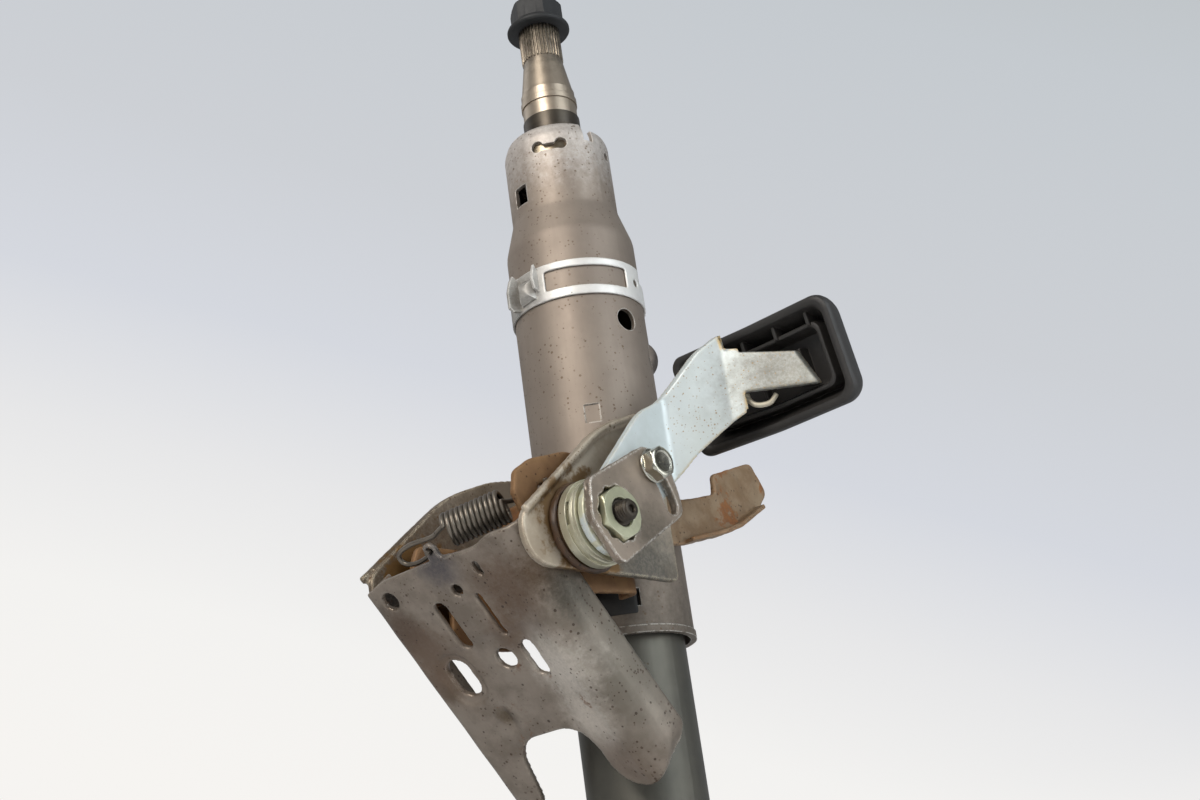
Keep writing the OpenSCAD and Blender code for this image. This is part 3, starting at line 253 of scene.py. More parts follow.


# lengths are in mm, and a spot has its place, reach, colour and depth; most spots are stained patches, and those
# marked below are painted shade and painted highlights
finishes = {
    "pressedSteel": dict(colour=(142, 131, 119), tone=(116, 105, 93), metal=0.5, rough=(0.32, 0.48),
        grainScale=95, toneScale=70, speck=(52, 38, 29), speckScale=360, speckAmount=0.27, rust=(88, 60, 40),
        rustTone=(116, 84, 60), rustScale=52, rustAmount=0.34, edge=(196, 186, 172), edgeAmount=0.85,
        edgeRadius=2, pepper=(66, 47, 35), pepperScale=700, spot=[((0, -98.5, 265.5), 12, (70, 67, 72), 0.85),
        ((24, -86, 252), 19, (90, 68, 50), 0.8), ((12, -76, 240), 13, (94, 72, 54), 0.7),
        ((-32, -80, 244), 14, (86, 64, 48), 0.8), ((-36, -70, 232), 11, (88, 66, 50), 0.75),
        ((-18, -54.5, 214.5), 5.5, (80, 66, 46), 0.9), ((-36, -65.5, 226.5), 6, (78, 64, 48), 0.8),
        ((41, -84, 255), 12, (80, 62, 44), 0.85), ((24, -36, 188), 16, (104, 82, 62), 0.45),
        ((-41.5, -86.5, 264), 8.5, (24, 21, 18), 0.97), ((47, -74, 245), 15, (58, 54, 44), 0.9),
        ((47, -50, 222), 34, (112, 107, 96), 0.7), ((-35.5, -85.9, 251.8), 12, (84, 66, 52), 0.8),
        # the last two spots are painted highlights on the ridge's slope
        ((-30, -72, 235.5), 22, (112, 94, 78), 0.6), ((26, -64, 224.5), 18, (208, 199, 187), 0.9),
        ((22, -50, 206.5), 15, (204, 194, 181), 0.85)]),
    "cheekSteel": dict(colour=(186, 174, 157), streak=0.25, tone=(160, 146, 128), metal=0.65,
        rough=(0.4, 0.58), grainScale=110, toneScale=60, speck=(84, 62, 44), speckScale=330,
        rust=(122, 88, 54), rustTone=(156, 120, 72), rustAmount=0.2, edge=(228, 214, 186), edgeRadius=2.2,
        pepper=(96, 68, 44), pepperScale=860, grease=(116, 84, 40), greaseReach=24.5, greaseDepth=0.85,
        # both spots are painted shade: low on the right cheek, and over the whole left cheek
        spot=[((47, -33, 254), 31, (82, 80, 74), 0.9), ((-46, -74, 286), 62, (92, 78, 63), 0.95)]),
    "jacketSteel": dict(pepper=(104, 85, 66), pepperScale=720, colour=(152, 140, 128), tone=(139, 127, 116),
        metal=0.75, rough=(0.52, 0.64), grainScale=120, toneScale=22, stretch=(1, 1, 0.12), streak=0.22,
        speck=(88, 68, 50), speckScale=300, speckAmount=0.14, rust=(124, 92, 62), rustAmount=0.13,
        edge=(224, 219, 210), edgeAmount=0.9, round=0.6, spot=[((22.8, 22.2, 363), 10.5, (62, 60, 62), 0.9),
        # painted highlight on the neck, and painted shade on the jacket's lower end
        ((0, 0, 486), 46, (236, 231, 226), 0.75), ((0, 0, 230), 52, (92, 85, 75), 0.95)]),
    # the lower tube's own dark steel, made darker still as painted shade
    "shadedTubeSteel": dict(colour=(102, 99, 90), tone=(90, 88, 81), metal=0.8, rough=(0.4, 0.52), grainScale=130,
        toneScale=30, stretch=(1, 1, 0.06), streak=0.35, speck=(84, 70, 56), speckScale=240,
        speckAmount=0.14),
    "rustySteel": dict(colour=(132, 98, 64), tone=(104, 72, 44), metal=0.4, rough=(0.5, 0.76), grainScale=160,
        streak=0.4, streakColour=(152, 122, 86), speck=(64, 38, 22), speckScale=380, rust=(84, 50, 28),
        rustTone=(124, 82, 46), rustScale=45, rustAmount=0.42, edge=(176, 148, 112), edgeAmount=0.8,
        edgeRadius=1.8, bump=0.5, pepper=(58, 36, 24), pepperScale=820),
    "armSteel": dict(colour=(152, 130, 104), tone=(126, 98, 68), metal=0.35, rough=(0.44, 0.64),
        grainScale=150, streak=0.4, toneScale=80, streakColour=(156, 134, 106), speck=(58, 36, 22),
        speckScale=360, rust=(122, 72, 34), rustTone=(150, 96, 50), rustScale=48, rustAmount=0.5,
        edge=(188, 128, 78), edgeAmount=0.9, edgeRadius=2, bump=0.45, pepper=(62, 40, 26), pepperScale=820),
    "zincSteel": dict(colour=(208, 216, 216), tone=(196, 203, 201), metal=0.4, rough=(0.4, 0.56),
        grainScale=60, streak=0.2, speck=(104, 88, 62), speckScale=430, speckAmount=0.14,
        rust=(168, 142, 100), rustScale=95, rustAmount=0.07, edge=(196, 174, 132), edgeRadius=1.8,
        pepper=(150, 126, 90), pepperScale=1100, grease=(196, 192, 160), greaseReach=16.8, greaseDepth=0.8,
        spot=[((99.5, 2, 324.5), 30, (122, 119, 110), 0.9)]),
    "bandZinc": dict(colour=(236, 234, 229), tone=(216, 213, 208), metal=0.35, rough=(0.38, 0.54),
        grainScale=90, streak=0.25, speck=(104, 94, 82), speckScale=260, speckAmount=0.16,
        edge=(240, 238, 232), edgeAmount=0.8, edgeRadius=1.2,
        # both spots are painted shade on the band's left side, round the buckle
        spot=[((-4, -31, 396), 18, (138, 134, 126), 0.85), ((-20, -22, 392), 18, (122, 118, 112), 0.85)]),
    "yellowZinc": dict(colour=(206, 206, 176), tone=(172, 172, 142), metal=0.8, rough=(0.26, 0.42),
        grainScale=90, streak=0.35, streakColour=(178, 176, 152), speck=(64, 50, 32), speckScale=380,
        speckAmount=0.24, rust=(96, 74, 46), rustScale=90, rustAmount=0.24, edge=(226, 222, 204),
        edgeAmount=0.9, edgeRadius=0.5),
    "greasyWasher": dict(colour=(98, 76, 54), tone=(62, 44, 30), metal=0.6, rough=(0.26, 0.5), grainScale=140,
        streak=0.4, streakColour=(132, 112, 84), speck=(34, 24, 17), rust=(50, 34, 23),
        rustTone=(112, 80, 44), rustScale=75, rustAmount=0.42, edge=(164, 142, 110), edgeAmount=0.6,
        edgeRadius=0.5, bump=0.6),
    "lockSteel": dict(colour=(154, 140, 126), tone=(130, 118, 105), metal=0.7, rough=(0.38, 0.56),
        grainScale=110, streak=0.25, speck=(64, 48, 40), speckScale=330, rust=(100, 82, 68), rustScale=70,
        rustAmount=0.2, edge=(246, 241, 232), edgeRadius=1.7, edgeBreakup=700,
        # painted shade on the plate's lower right part
        spot=[((60, -49, 264), 14, (88, 81, 70), 0.9)]),
    "screwZinc": dict(colour=(206, 204, 194), tone=(178, 174, 158), metal=0.95, rough=(0.14, 0.28),
        grainScale=120, streak=0.25, speck=(104, 84, 52), speckAmount=0.18, edge=(236, 232, 220),
        edgeAmount=0.7, edgeRadius=0.4),
    "shaftSteel": dict(colour=(182, 168, 150), tone=(158, 145, 129), metal=0.85, rough=(0.32, 0.45),
        grainScale=200, toneScale=40, stretch=(0.08, 0.08, 1), speck=(88, 70, 52), speckScale=260,
        speckAmount=0.14, spot=[((0, 0, 537), 26, (38, 35, 28), 0.96)]),
    "darkSteel": dict(colour=(118, 110, 100), tone=(92, 86, 78), metal=0.8, rough=(0.3, 0.48), grainScale=150,
        streak=0.35, streakColour=(150, 140, 126), speck=(54, 42, 32), rust=(92, 66, 46), rustScale=90,
        rustAmount=0.22),
    "blackNut": dict(colour=(38, 39, 39), tone=(29, 30, 31), metal=0.2, rough=(0.5, 0.68), grainScale=140,
        streakColour=(60, 59, 58), speck=(86, 82, 77), speckAmount=0.1, edge=(80, 78, 75), edgeAmount=0.5),
    "blackPlastic": dict(colour=(42, 40, 38), tone=(35, 33, 32), metal=0.0, rough=(0.42, 0.6), grainScale=700,
        streakColour=(54, 50, 46), speck=(96, 84, 68), speckScale=300, speckAmount=0.1, speckDepth=0.4,
        bump=0.25, rust=(98, 80, 58), rustScale=40, rustAmount=0.26, rustDepth=0.55, edge=(66, 62, 57),
        edgeAmount=0.6),
    "bushRubber": dict(colour=(40, 38, 36), tone=(28, 27, 26), metal=0.0, rough=(0.6, 0.8), grainScale=320,
        streakColour=(62, 58, 54), speck=(90, 82, 70), speckScale=360, speckAmount=0.12),
    "sealSteel": dict(colour=(72, 66, 58), tone=(54, 49, 43), metal=0.7, rough=(0.3, 0.46), grainScale=200,
        toneScale=60, stretch=(0.1, 0.1, 1), streak=0.35, streakColour=(96, 86, 72), speck=(40, 32, 24),
        speckScale=320, speckAmount=0.16),
    "bearingSteel": dict(colour=(150, 140, 122), tone=(112, 100, 84), metal=0.95, rough=(0.2, 0.36),
        grainScale=200, stretch=(0.1, 0.1, 1), speck=(80, 64, 44), speckAmount=0.16),
    "discZinc": dict(colour=(198, 194, 172), tone=(168, 163, 138), metal=0.7, rough=(0.28, 0.44),
        grainScale=160, toneScale=90, stretch=(1, 0.15, 0.15), streak=0.35, streakColour=(214, 210, 190),
        speck=(92, 74, 46), speckScale=380, speckAmount=0.24, rust=(122, 96, 58), rustScale=80,
        rustAmount=0.26, edge=(232, 228, 208), edgeAmount=0.8, edgeRadius=0.5),
    "threadSteel": dict(colour=(70, 64, 58), tone=(50, 45, 40), metal=0.75, rough=(0.3, 0.5), grainScale=220,
        streak=0.4, streakColour=(104, 94, 80), speck=(34, 26, 20), speckScale=460, rust=(72, 50, 34),
        rustScale=110, rustAmount=0.3),
    "oldGrease": dict(colour=(64, 46, 32), tone=(40, 29, 22), metal=0.1, rough=(0.3, 0.6), grainScale=260,
        toneScale=120, streak=0.4, streakColour=(104, 74, 42), speck=(22, 17, 14), speckAmount=0.3,
        rust=(122, 84, 40), rustScale=110, rustAmount=0.3, bump=0.8),
    "clipSteel": dict(colour=(206, 198, 178), tone=(184, 174, 152), metal=0.3, rough=(0.42, 0.58),
        grainScale=160, speck=(110, 92, 64), speckAmount=0.16),
    "slidePlastic": dict(colour=(36, 34, 33), tone=(27, 26, 25), metal=0.0, rough=(0.5, 0.7), grainScale=300,
        streakColour=(52, 49, 45), speck=(80, 70, 56), speckScale=320, speckAmount=0.14),
}
made = {name: makeFinish(name, look) for name, look in finishes.items()}
print("finishes:", len(made))

wears = {
    "pressedSteel": ["mounting_bracket", "pivot_bracket", "pivot_barrel"],
    "cheekSteel": ["left_cheek", "right_cheek"],
    "darkSteel": ["balance_spring"],
    "shadedTubeSteel": ["lower_tube"],
    "slidePlastic": ["slide_sleeve"],
    "bushRubber": ["pivot_bush"],
    "bearingSteel": ["lower_bearing_outer", "lower_bearing_inner", "lower_balls",
        "upper_bearing_outer", "upper_bearing_inner", "upper_balls"],
    "threadSteel": ["clamp_bolt"],
    "greasyWasher": ["thrust_washers", "slide_spacers"],
    "discZinc": ["cam_disc", "cam_hub"],
    "jacketSteel": ["jacket_tube"],
    "rustySteel": ["saddle_bracket"],
    "armSteel": ["side_arm"],
    "bandZinc": ["band_clamp"],
    "shaftSteel": ["upper_shaft", "spring_washer", "lower_shaft"],
    "blackNut": ["wheel_nut"],
    "sealSteel": ["seal_ring"],
    "zincSteel": ["clamp_lever"],
    "lockSteel": ["lock_plate"],
    "yellowZinc": ["clamp_nut"],
    "screwZinc": ["lever_screw"],
    "blackPlastic": ["lever_handle"],
}
for finish, names in wears.items():
    for name in names:
        nodes[name].data.materials.clear()
        nodes[name].data.materials.append(made[finish])
print("nodes dressed:", sum(len(names) for names in wears.values()))


# a finished mesh becomes a piece that rides on its body
def settle(name, mesh, finish, body, slot, replaced=(), sharp=34):
    shape = bmesh.new()
    shape.from_mesh(mesh)
    bmesh.ops.remove_doubles(shape, verts=shape.verts, dist=1e-7)
    bmesh.ops.recalc_face_normals(shape, faces=shape.faces)
    shape.to_mesh(mesh)
    shape.free()
    mesh.shade_smooth()
    mesh.set_sharp_from_angle(angle=math.radians(sharp))
    mesh.materials.clear()
    mesh.materials.append(made[finish])
    piece = bpy.data.objects.new(name, mesh)
    scene.collection.objects.link(piece)
    if body:
        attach(piece, body)
    if replaced:
        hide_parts(*replaced)
    return piece


# turned or swept shapes: rings of points joined into one closed skin
def skin(rings, loop=False, start=0):
    count, faces = len(rings[0]), []
    for i in range(len(rings) if loop else len(rings) - 1):
        a, b = start + i * count, start + (i + 1) % len(rings) * count
        faces += [(a + k, a + (k + 1) % count, b + (k + 1) % count, b + k) for k in range(count)]
    if not loop:
        last = start + (len(rings) - 1) * count
        faces += [tuple(range(start + count - 1, start - 1, -1)), tuple(range(last, last + count))]
    return [p for ring in rings for p in ring], faces


def joinedMesh(name, shells):
    points, faces = [], []
    for rings, loop in shells:
        more, sides = skin(rings, loop, len(points))
        points += more
        faces += sides
    mesh = bpy.data.meshes.new(name)
    mesh.from_pydata([Vector(p) * mm for p in points], [], faces)
    return mesh


def build(name, shells, *dress, sharp=34):
    return settle(name, joinedMesh(name, shells), *dress, sharp=sharp)


def circleAt(reach, height, place, sides=96):
    angles = [2 * math.pi * k / sides for k in range(sides)]
    return [place(reach(a) if callable(reach) else reach, a, height) for a in angles]


def hexReach(flats, angle):
    return flats / 2 / math.cos((angle + math.pi / 6) % (math.pi / 3) - math.pi / 6)


def hexRing(flats, limit, height, place, sides=96):
    return circleAt(lambda a: min(hexReach(flats, a), limit), height, place, sides)


def onColumn(r, a, z):
    return (r * math.cos(a), r * math.sin(a), z)


def besideBolt(y, z):
    return lambda r, a, x: (x, y + r * math.cos(a), z + r * math.sin(a))


def threadRings(start, end, crest, depth, pitch, place, sides, perTurn=10):
    rows = int((end - start) / pitch * perTurn)

    def reach(x):
        return lambda a: crest - depth * abs(2 * ((x / pitch - a / 2 / math.pi) % 1) - 1)

    heights = [start + (end - start) * i / rows for i in range(rows + 1)]
    return [circleAt(reach(x), x, place, sides) for x in heights]


# wheel nut: rows of height and reach for its flange, its hexagon and its bore
wheelNut = dict(flats=22.0, round=13.5, inset=0.999, z=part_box("wheel_nut")[0].z / mm,
    flange=[(0.0, 13.9), (0.35, 14.5), (0.9, 14.84), (1.7, 14.84), (2.2, 14.55), (2.8, 13.9), (3.4, 13.0),
        (4.0, 12.3), (4.6, 11.7), (5.2, 11.2)],
    hexagon=[(12.9, 12.75), (13.5, 12.5), (14.1, 12.0), (14.6, 11.4), (15.0, 10.6), (15.0, 8.0), (14.5, 7.3),
        (14.0, 7.05), (1.2, 7.05), (0.5, 7.4), (0.0, 8.0)])


def flangeReach(limit):
    if limit >= wheelNut["round"]:
        return limit
    return lambda a: max(hexReach(wheelNut["flats"], a) * wheelNut["inset"], limit)


rings = [circleAt(flangeReach(r), wheelNut["z"] + h, onColumn) for h, r in wheelNut["flange"]]
rings += [hexRing(wheelNut["flats"], r, wheelNut["z"] + h, onColumn) for h, r in wheelNut["hexagon"]]
build("wheelNut", [(rings, True)], "blackNut", "upper_shaft_body", "black_nut", ["wheel_nut"])

# clamp bolt with a cut thread
clampBolt = dict(flats=18.5, shank=5.0, shankEnds=(7.0, 0.8), crest=4.1, depth=0.6, pitch=1.25,
    thread=(0.7, 0.9), sides=48, recess=[(0.4, 1.0), (0.4, 6.2)],
    head=[(0.0, 8.2), (0.5, 9.0), (1.1, 9.9), (1.6, 10.7), (6.4, 10.7), (7.0, 10.2)],
    point=[(0.7, 3.5), (0.2, 3.2), (0.0, 2.8), (0.0, 1.7), (0.4, 1.5), (1.4, 1.3)])
onBolt = besideBolt(boltY, boltZ)
headX, endX = (corner.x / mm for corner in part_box("clamp_bolt"))
nutX, nutTop = (corner.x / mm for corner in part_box("clamp_nut"))
sides, (shankStart, shankEnd) = clampBolt["sides"], clampBolt["shankEnds"]
rings = [circleAt(r, headX + h, onBolt, sides) for h, r in clampBolt["recess"]]
rings += [hexRing(clampBolt["flats"], r, headX + h, onBolt, sides) for h, r in clampBolt["head"]]
rings += [circleAt(clampBolt["shank"], x, onBolt, sides) for x in (headX + shankStart, nutTop - shankEnd)]
rings += threadRings(nutTop - clampBolt["thread"][0], endX - clampBolt["thread"][1], clampBolt["crest"],
    clampBolt["depth"], clampBolt["pitch"], onBolt, sides)
rings += [circleAt(r, endX - h, onBolt, sides) for h, r in clampBolt["point"]]
build("clampBolt", [(rings, False)], "threadSteel", "column", "dark_steel", ["clamp_bolt"])

# clamp nut, chamfered on both faces
clampNut = dict(flats=18.5, inner=[(0.0, 9.4), (0.7, 10.7)], bore=[(0.6, 5.2), (0.0, 5.8)],
    outer=[(1.3, 10.7), (0.8, 10.3), (0.35, 9.9), (0.0, 9.4), (0.0, 5.7), (0.5, 5.3), (0.9, 5.2)])
rows = [(nutX + h, r) for h, r in clampNut["inner"]] + [(nutTop - h, r) for h, r in clampNut["outer"]]
rows += [(nutX + h, r) for h, r in clampNut["bore"]]
rings = [hexRing(clampNut["flats"], r, x, onBolt) for x, r in rows]
build("clampNut", [(rings, True)], "yellowZinc", "lever", "yellow_zinc", ["clamp_nut"])

# hexagon flange screw in the lock plate
leverScrew = dict(flats=11.5, head=6.0, shank=[(0.0, 2.4), (0.6, 3.0)],
    flange=[(0.0, 3.0), (0.0, 6.3), (0.25, 6.75), (0.8, 6.8), (1.15, 6.55)], foot=[(1.3, 6.45), (1.6, 7.0)],
    top=[(1.3, 7.0), (0.8, 6.5), (0.3, 5.9), (0.0, 5.3), (0.0, 4.3), (0.35, 3.9), (0.5, 1.0)])
screwLow, screwHigh = (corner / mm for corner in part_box("lever_screw"))
onScrew = besideBolt((screwLow.y + screwHigh.y) / 2, (screwLow.z + screwHigh.z) / 2)
seat = screwHigh.x - leverScrew["head"]
rings = [circleAt(r, screwLow.x + h, onScrew) for h, r in leverScrew["shank"]]
rings += [circleAt(r, seat + h, onScrew) for h, r in leverScrew["flange"]]
rings += [hexRing(leverScrew["flats"], r, seat + h, onScrew) for h, r in leverScrew["foot"]]
rings += [hexRing(leverScrew["flats"], r, screwHigh.x - h, onScrew) for h, r in leverScrew["top"]]
build("leverScrew", [(rings, False)], "screwZinc", "lever", "zinc_steel", ["lever_screw"])
print("turned pieces done")

# moulded handle: dished shell, inner tub, pocket ribs and two ribs under the tongue
# u runs along the handle, v down and w into it; shell and tub rows are inset and w
handle = dict(at=(88.45, 2.0, 326.5), lean=14.0, width=79.0, height=44.0, floor=12.6, into=0.2, corner=7.0,
    bow=150.0, shell=[(13.0, 12.6), (9.4, 12.6), (8.2, 12.0), (7.2, 10.6), (6.2, 8.0), (4.6, 3.4), (3.9, 1.3),
        (3.4, 0.5), (2.7, 0.1), (2.0, 0.0), (1.2, 0.15), (0.5, 0.6), (0.1, 1.4), (0.0, 2.4), (0.0, 3.4),
        (0.35, 5.6), (1.0, 8.0), (1.9, 10.4), (3.0, 12.6), (4.2, 14.3), (5.8, 15.4), (7.8, 15.9), (11.0, 16.0)],
    tub=[(8.2, 12.8), (8.6, 5.0), (8.8, 4.3), (9.3, 4.0), (10.0, 4.0), (10.4, 4.3), (10.6, 5.0), (12.2, 12.8)],
    ribs=dict(count=4, start=18.0, step=16.0, thick=1.6, v=(4.6, 10.2), w=2.6),
    blocks=[(16.2, 17.8, -6, 9, 6.5), (-6.0, -4.4, -9, 9, 8.8)])
lean = math.radians(handle["lean"])
handleV = Vector((0, math.sin(lean), -math.cos(lean)))
handleW = Vector((0, math.cos(lean), math.sin(lean)))


def inHandle(u, v, w):
    return Vector(handle["at"]) + Vector((u, 0, 0)) + handleV * v + handleW * w


def roundCorner(a, b, c, r, steps):
    a, b, c = Vector(a), Vector(b), Vector(c)
    u, v = (b - a).normalized(), (c - b).normalized()
    turn = math.atan2(u.x * v.y - u.y * v.x, u.dot(v))
    side = 1 if turn > 0 else -1
    middle = b - u * r * abs(math.tan(turn / 2)) + side * r * Vector((-u.y, u.x))
    out = []
    for i in range(steps + 1):
        c, s = math.cos(turn * i / steps), math.sin(turn * i / steps)
        out.append(middle - side * r * Vector((-u.y * c - u.x * s, u.x * c - u.y * s)))
    return out


# the left end is a little taller above and shorter below than the right one
def handleOutline(d):
    w, h, r = handle["width"] / 2 - d, handle["height"] / 2 - d, handle["corner"] - d / 3
    corners = [(-w - 0.5, -h - 1.0), (0, -h), (w, -h), (w, h), (0, h), (-w, h - 1.8)]
    radii = [r * 0.7, handle["bow"], r, r, handle["bow"], r * 0.8]
    out = []
    for i in range(len(corners)):
        out += roundCorner(corners[i - 1], corners[i], corners[(i + 1) % len(corners)], radii[i], 10)
    return out


def handleRing(d, w):
    return [inHandle(p.x, p.y, w) for p in handleOutline(d)]


def handleBlock(u0, u1, v0, v1, w0, edge=0.3):
    def box(e, w):
        a, b, c, d = u0 + e, u1 - e, v0 + e, v1 - e
        return [inHandle(u, v, w) for u, v in ((a, c), (b, c), (b, d), (a, d))]
    return [box(edge, w0), box(0, w0 + edge), box(0, handle["floor"] + handle["into"])], False


shells = [([handleRing(*row) for row in handle[part]], loop) for part, loop in (("shell", False), ("tub", True))]
ribs = handle["ribs"]
ribLow, ribHigh = (v - handle["height"] / 2 for v in ribs["v"])
for i in range(ribs["count"]):
    u = ribs["start"] - handle["width"] / 2 + i * ribs["step"]
    shells.append(handleBlock(u, u + ribs["thick"], ribLow, ribHigh, ribs["w"]))
shells += [handleBlock(*block) for block in handle["blocks"]]
build("handleShell", shells, "blackPlastic", "lever", "black_plastic", ["lever_handle"], sharp=28)
print("handle done")

# the mounting face: x across, t down the slope from its top edge, n inwards
sheet = dict(top=(-99.5, 268.0), lean=40.0, thick=2.5)
slope = math.radians(sheet["lean"])
downT = Vector((0, math.sin(slope), -math.cos(slope)))
inN = Vector((0, math.cos(slope), math.sin(slope)))
faceTop = Vector((0, *sheet["top"]))


def facePoint(x, t, n):
    return faceTop + Vector((x, 0, 0)) + downT * t + inN * n


def ease(value, low, high):
    k = min(max((value - low) / (high - low), 0.0), 1.0)
    return k * k * (3 - 2 * k)


def bentRamp(value, low, high, bend):
    return 0.5 + (math.hypot(value - low, bend) - math.hypot(value - high, bend)) / (2 * (high - low))


# pressed sheet: a CAD skin gridded again with soft edges, then pushed in and out
def softened(node, piece, finish, body, slot, grid, push, rounds=2):
    shape = bmesh.new()
    shape.from_mesh(nodes[node].data)
    bmesh.ops.remove_doubles(shape, verts=shape.verts, dist=1e-6)
    rough = bpy.data.meshes.new(piece + "Grid")
    shape.to_mesh(rough)
    shape.free()
    holder = bpy.data.objects.new(piece + "Grid", rough)
    scene.collection.objects.link(holder)
    remesh = holder.modifiers.new("grid", "REMESH")
    remesh.mode, remesh.voxel_size = "VOXEL", grid * mm
    soft = holder.modifiers.new("soft", "SMOOTH")
    soft.factor, soft.iterations = 0.5, rounds
    mesh = bpy.data.meshes.new_from_object(holder.evaluated_get(bpy.context.evaluated_depsgraph_get()))
    mesh.name = piece
    bpy.data.objects.remove(holder)
    bpy.data.meshes.remove(rough)
    moves = [push(v.co / mm, v.normal) for v in mesh.vertices]
    for v, move in zip(mesh.vertices, moves):
        v.co += move * mm
    return settle(piece, mesh, finish, body, slot, [node], sharp=70)


def dented(depth, size, calm=0.1):
    return lambda at, normal: normal * depth * min(0.0, noise.noise(at / size) - calm)


burrForm = dict(turned=(0.2, 0.7), octaves=3, waveSize=9.0)


def burred(depth, size, wave=0.1):
    def push(at, normal):
        burr = depth * ease(1 - abs(normal.x), *burrForm["turned"])
        burr *= noise.fractal(at / size, 1.0, 2.0, burrForm["octaves"])
        return normal * (burr + wave * noise.noise(at / burrForm["waveSize"]))
    return push


# bracket: a ridge on the right, a panel set back beside it and one blow mark on the left
# the depths are how far in from the face each form fades out
bracketForm = dict(ridge=4.2, ridgeFoot=(16.5, 40.0, 0.13), ridgeTop=31.0, ridgeBend=0.9, ridgeRun=(14, 52),
    ridgeDepth=(4, 15), panel=0.9, panelStep=(35, 38.5, 0.6), panelSide=(-36, -24), panelDepth=(3, 8), dent=1.3,
    dentAt=(-18.0, 71.0), dentSize=(2.6, 5.5), dentDepth=(3, 6), wave=0.22, waveSize=13.0, waveDepth=(4, 12))


def bracketPush(at, normal):
    form, off = bracketForm, at - faceTop
    x, t, n = at.x, off.dot(downT), off.dot(inN)
    foot, footAt, slant = form["ridgeFoot"]
    rise = bentRamp(x, foot - slant * (t - footAt), form["ridgeTop"], form["ridgeBend"])
    out = form["ridge"] * rise * ease(t, *form["ridgeRun"]) * (1 - ease(n, *form["ridgeDepth"]))
    back = bentRamp(t, *form["panelStep"]) * (1 - rise) * ease(x, *form["panelSide"])
    out -= form["panel"] * back * (1 - ease(n, *form["panelDepth"]))
    far = sum(((q - c) / s) ** 2 for q, c, s in zip((x, t), form["dentAt"], form["dentSize"]))
    out -= form["dent"] * math.exp(-far) * (1 - ease(n, *form["dentDepth"]))
    out += form["wave"] * noise.noise(at / form["waveSize"]) * (1 - ease(n, *form["waveDepth"]))
    return -inN * out


softened("mounting_bracket", "bracketSheet", "pressedSteel", "bracket", "pressed_steel", 0.7, bracketPush)
softened("right_cheek", "rightCheek", "cheekSteel", "bracket", "pressed_steel", 0.6, burred(0.12, 3.0))
softened("left_cheek", "leftCheek", "cheekSteel", "bracket", "pressed_steel", 0.7, burred(0.12, 3.0))
softened("saddle_bracket", "saddleSheet", "rustySteel", "jacket", "rusty_steel", 0.7, dented(0.15, 6.0))
softened("side_arm", "sideArm", "armSteel", "jacket", "rusty_steel", 0.6, dented(0.3, 5.0))

# lever: the strip past its upper fold is drawn back to the slanted end
leverForm = dict(fold=58.0, start=39.0, x=60.65, run=1.96, tip=(56.6, 76.1), slant=0.0925, tongueTop=69.0,
    blend=1.2, wave=0.12, waveSize=8.0)


def leverX(q):
    along = min(q, leverForm["fold"]) - leverForm["start"]
    return leverForm["x"] + along + max(0.0, q - leverForm["fold"]) * leverForm["run"]


def leverPush(at, normal):
    y, z = at.y - boltY, at.z - boltZ
    end = leverForm["tip"][0] + (leverForm["tip"][1] - z) * leverForm["slant"]
    over = max(0.0, y - end) * ease(z, leverForm["tongueTop"], leverForm["tongueTop"] + leverForm["blend"])
    wave = normal * leverForm["wave"] * noise.noise(at / leverForm["waveSize"])
    return Vector((leverX(y - over) - leverX(y), -over, 0)) + wave


softened("clamp_lever", "leverStrap", "zincSteel", "lever", "zinc_steel", 0.5, leverPush)
softened("lock_plate", "lockPlate", "lockSteel", "lever", "lock_steel", 0.4, burred(0.35, 1.6, 0.05), 1)

# band clamp: the CAD's lugs are flattened into the strap, and the buckle has its own
bandForm = dict(low=387.4, outer=29.6, twist=0.6,
    lugRows=((-0.5, 0.25), (-0.32, 0.0), (0.32, 0.0), (0.5, 0.25)),
    lugs=[(-104, 1.7, [(28.9, 388.4), (33.4, 387.9), (35.3, 389.6), (35.4, 397.0), (33.9, 402.4), (32.2, 405.2),
        (30.6, 404.0), (28.9, 402.4)]),
        (-80, 1.4, [(28.9, 392.6), (32.6, 393.8), (33.8, 398.0), (32.8, 402.2), (31.4, 405.4), (30.2, 403.6),
        (28.9, 402.0)])],
    tongue=[(29.2, -99, -82, 2.0, 12.6), (30.6, -98.6, -82.6, 2.2, 12.2), (32.2, -96.4, -85, 3.6, 10.6),
        (33.6, -93.4, -88.6, 5.4, 8.6), (33.9, -92.2, -89.8, 6.2, 7.8)])


def bandPush(at, normal):
    r = math.hypot(at.x, at.y)
    return Vector((at.x, at.y, 0)) * (-max(0.0, r - bandForm["outer"]) / r)


softened("band_clamp", "bandStrap", "bandZinc", "jacket", "zinc_steel", 0.5, bandPush, 1)
print("sheet pieces done")


# buckle: two folded lugs and a crimped tongue between them
def lugRings(angle, thick, profile):
    a = math.radians(angle)
    out, side = Vector((math.cos(a), math.sin(a), 0)), Vector((-math.sin(a), math.cos(a), 0))
    middle = Vector((sum(r for r, z in profile), sum(z for r, z in profile))) / len(profile)
    rings = []
    for s, shrink in bandForm["lugRows"]:
        edge = [Vector(q) + (middle - Vector(q)).normalized() * shrink for q in profile]
        rings.append([out * q.x + side * s * thick + Vector((0, 0, q.y)) for q in edge])
    return rings, False


def tongueRing(reach, start, end, low, high):
    corners = ((start, low), (end, low + bandForm["twist"]), (end, high), (start, high + bandForm["twist"]))
    return [onColumn(reach, math.radians(q), bandForm["low"] + z) for q, z in corners]


shells = [lugRings(*lug) for lug in bandForm["lugs"]]
shells.append(([tongueRing(*row) for row in bandForm["tongue"]], False))
build("bandBuckle", shells, "bandZinc", "jacket", "zinc_steel", sharp=30)

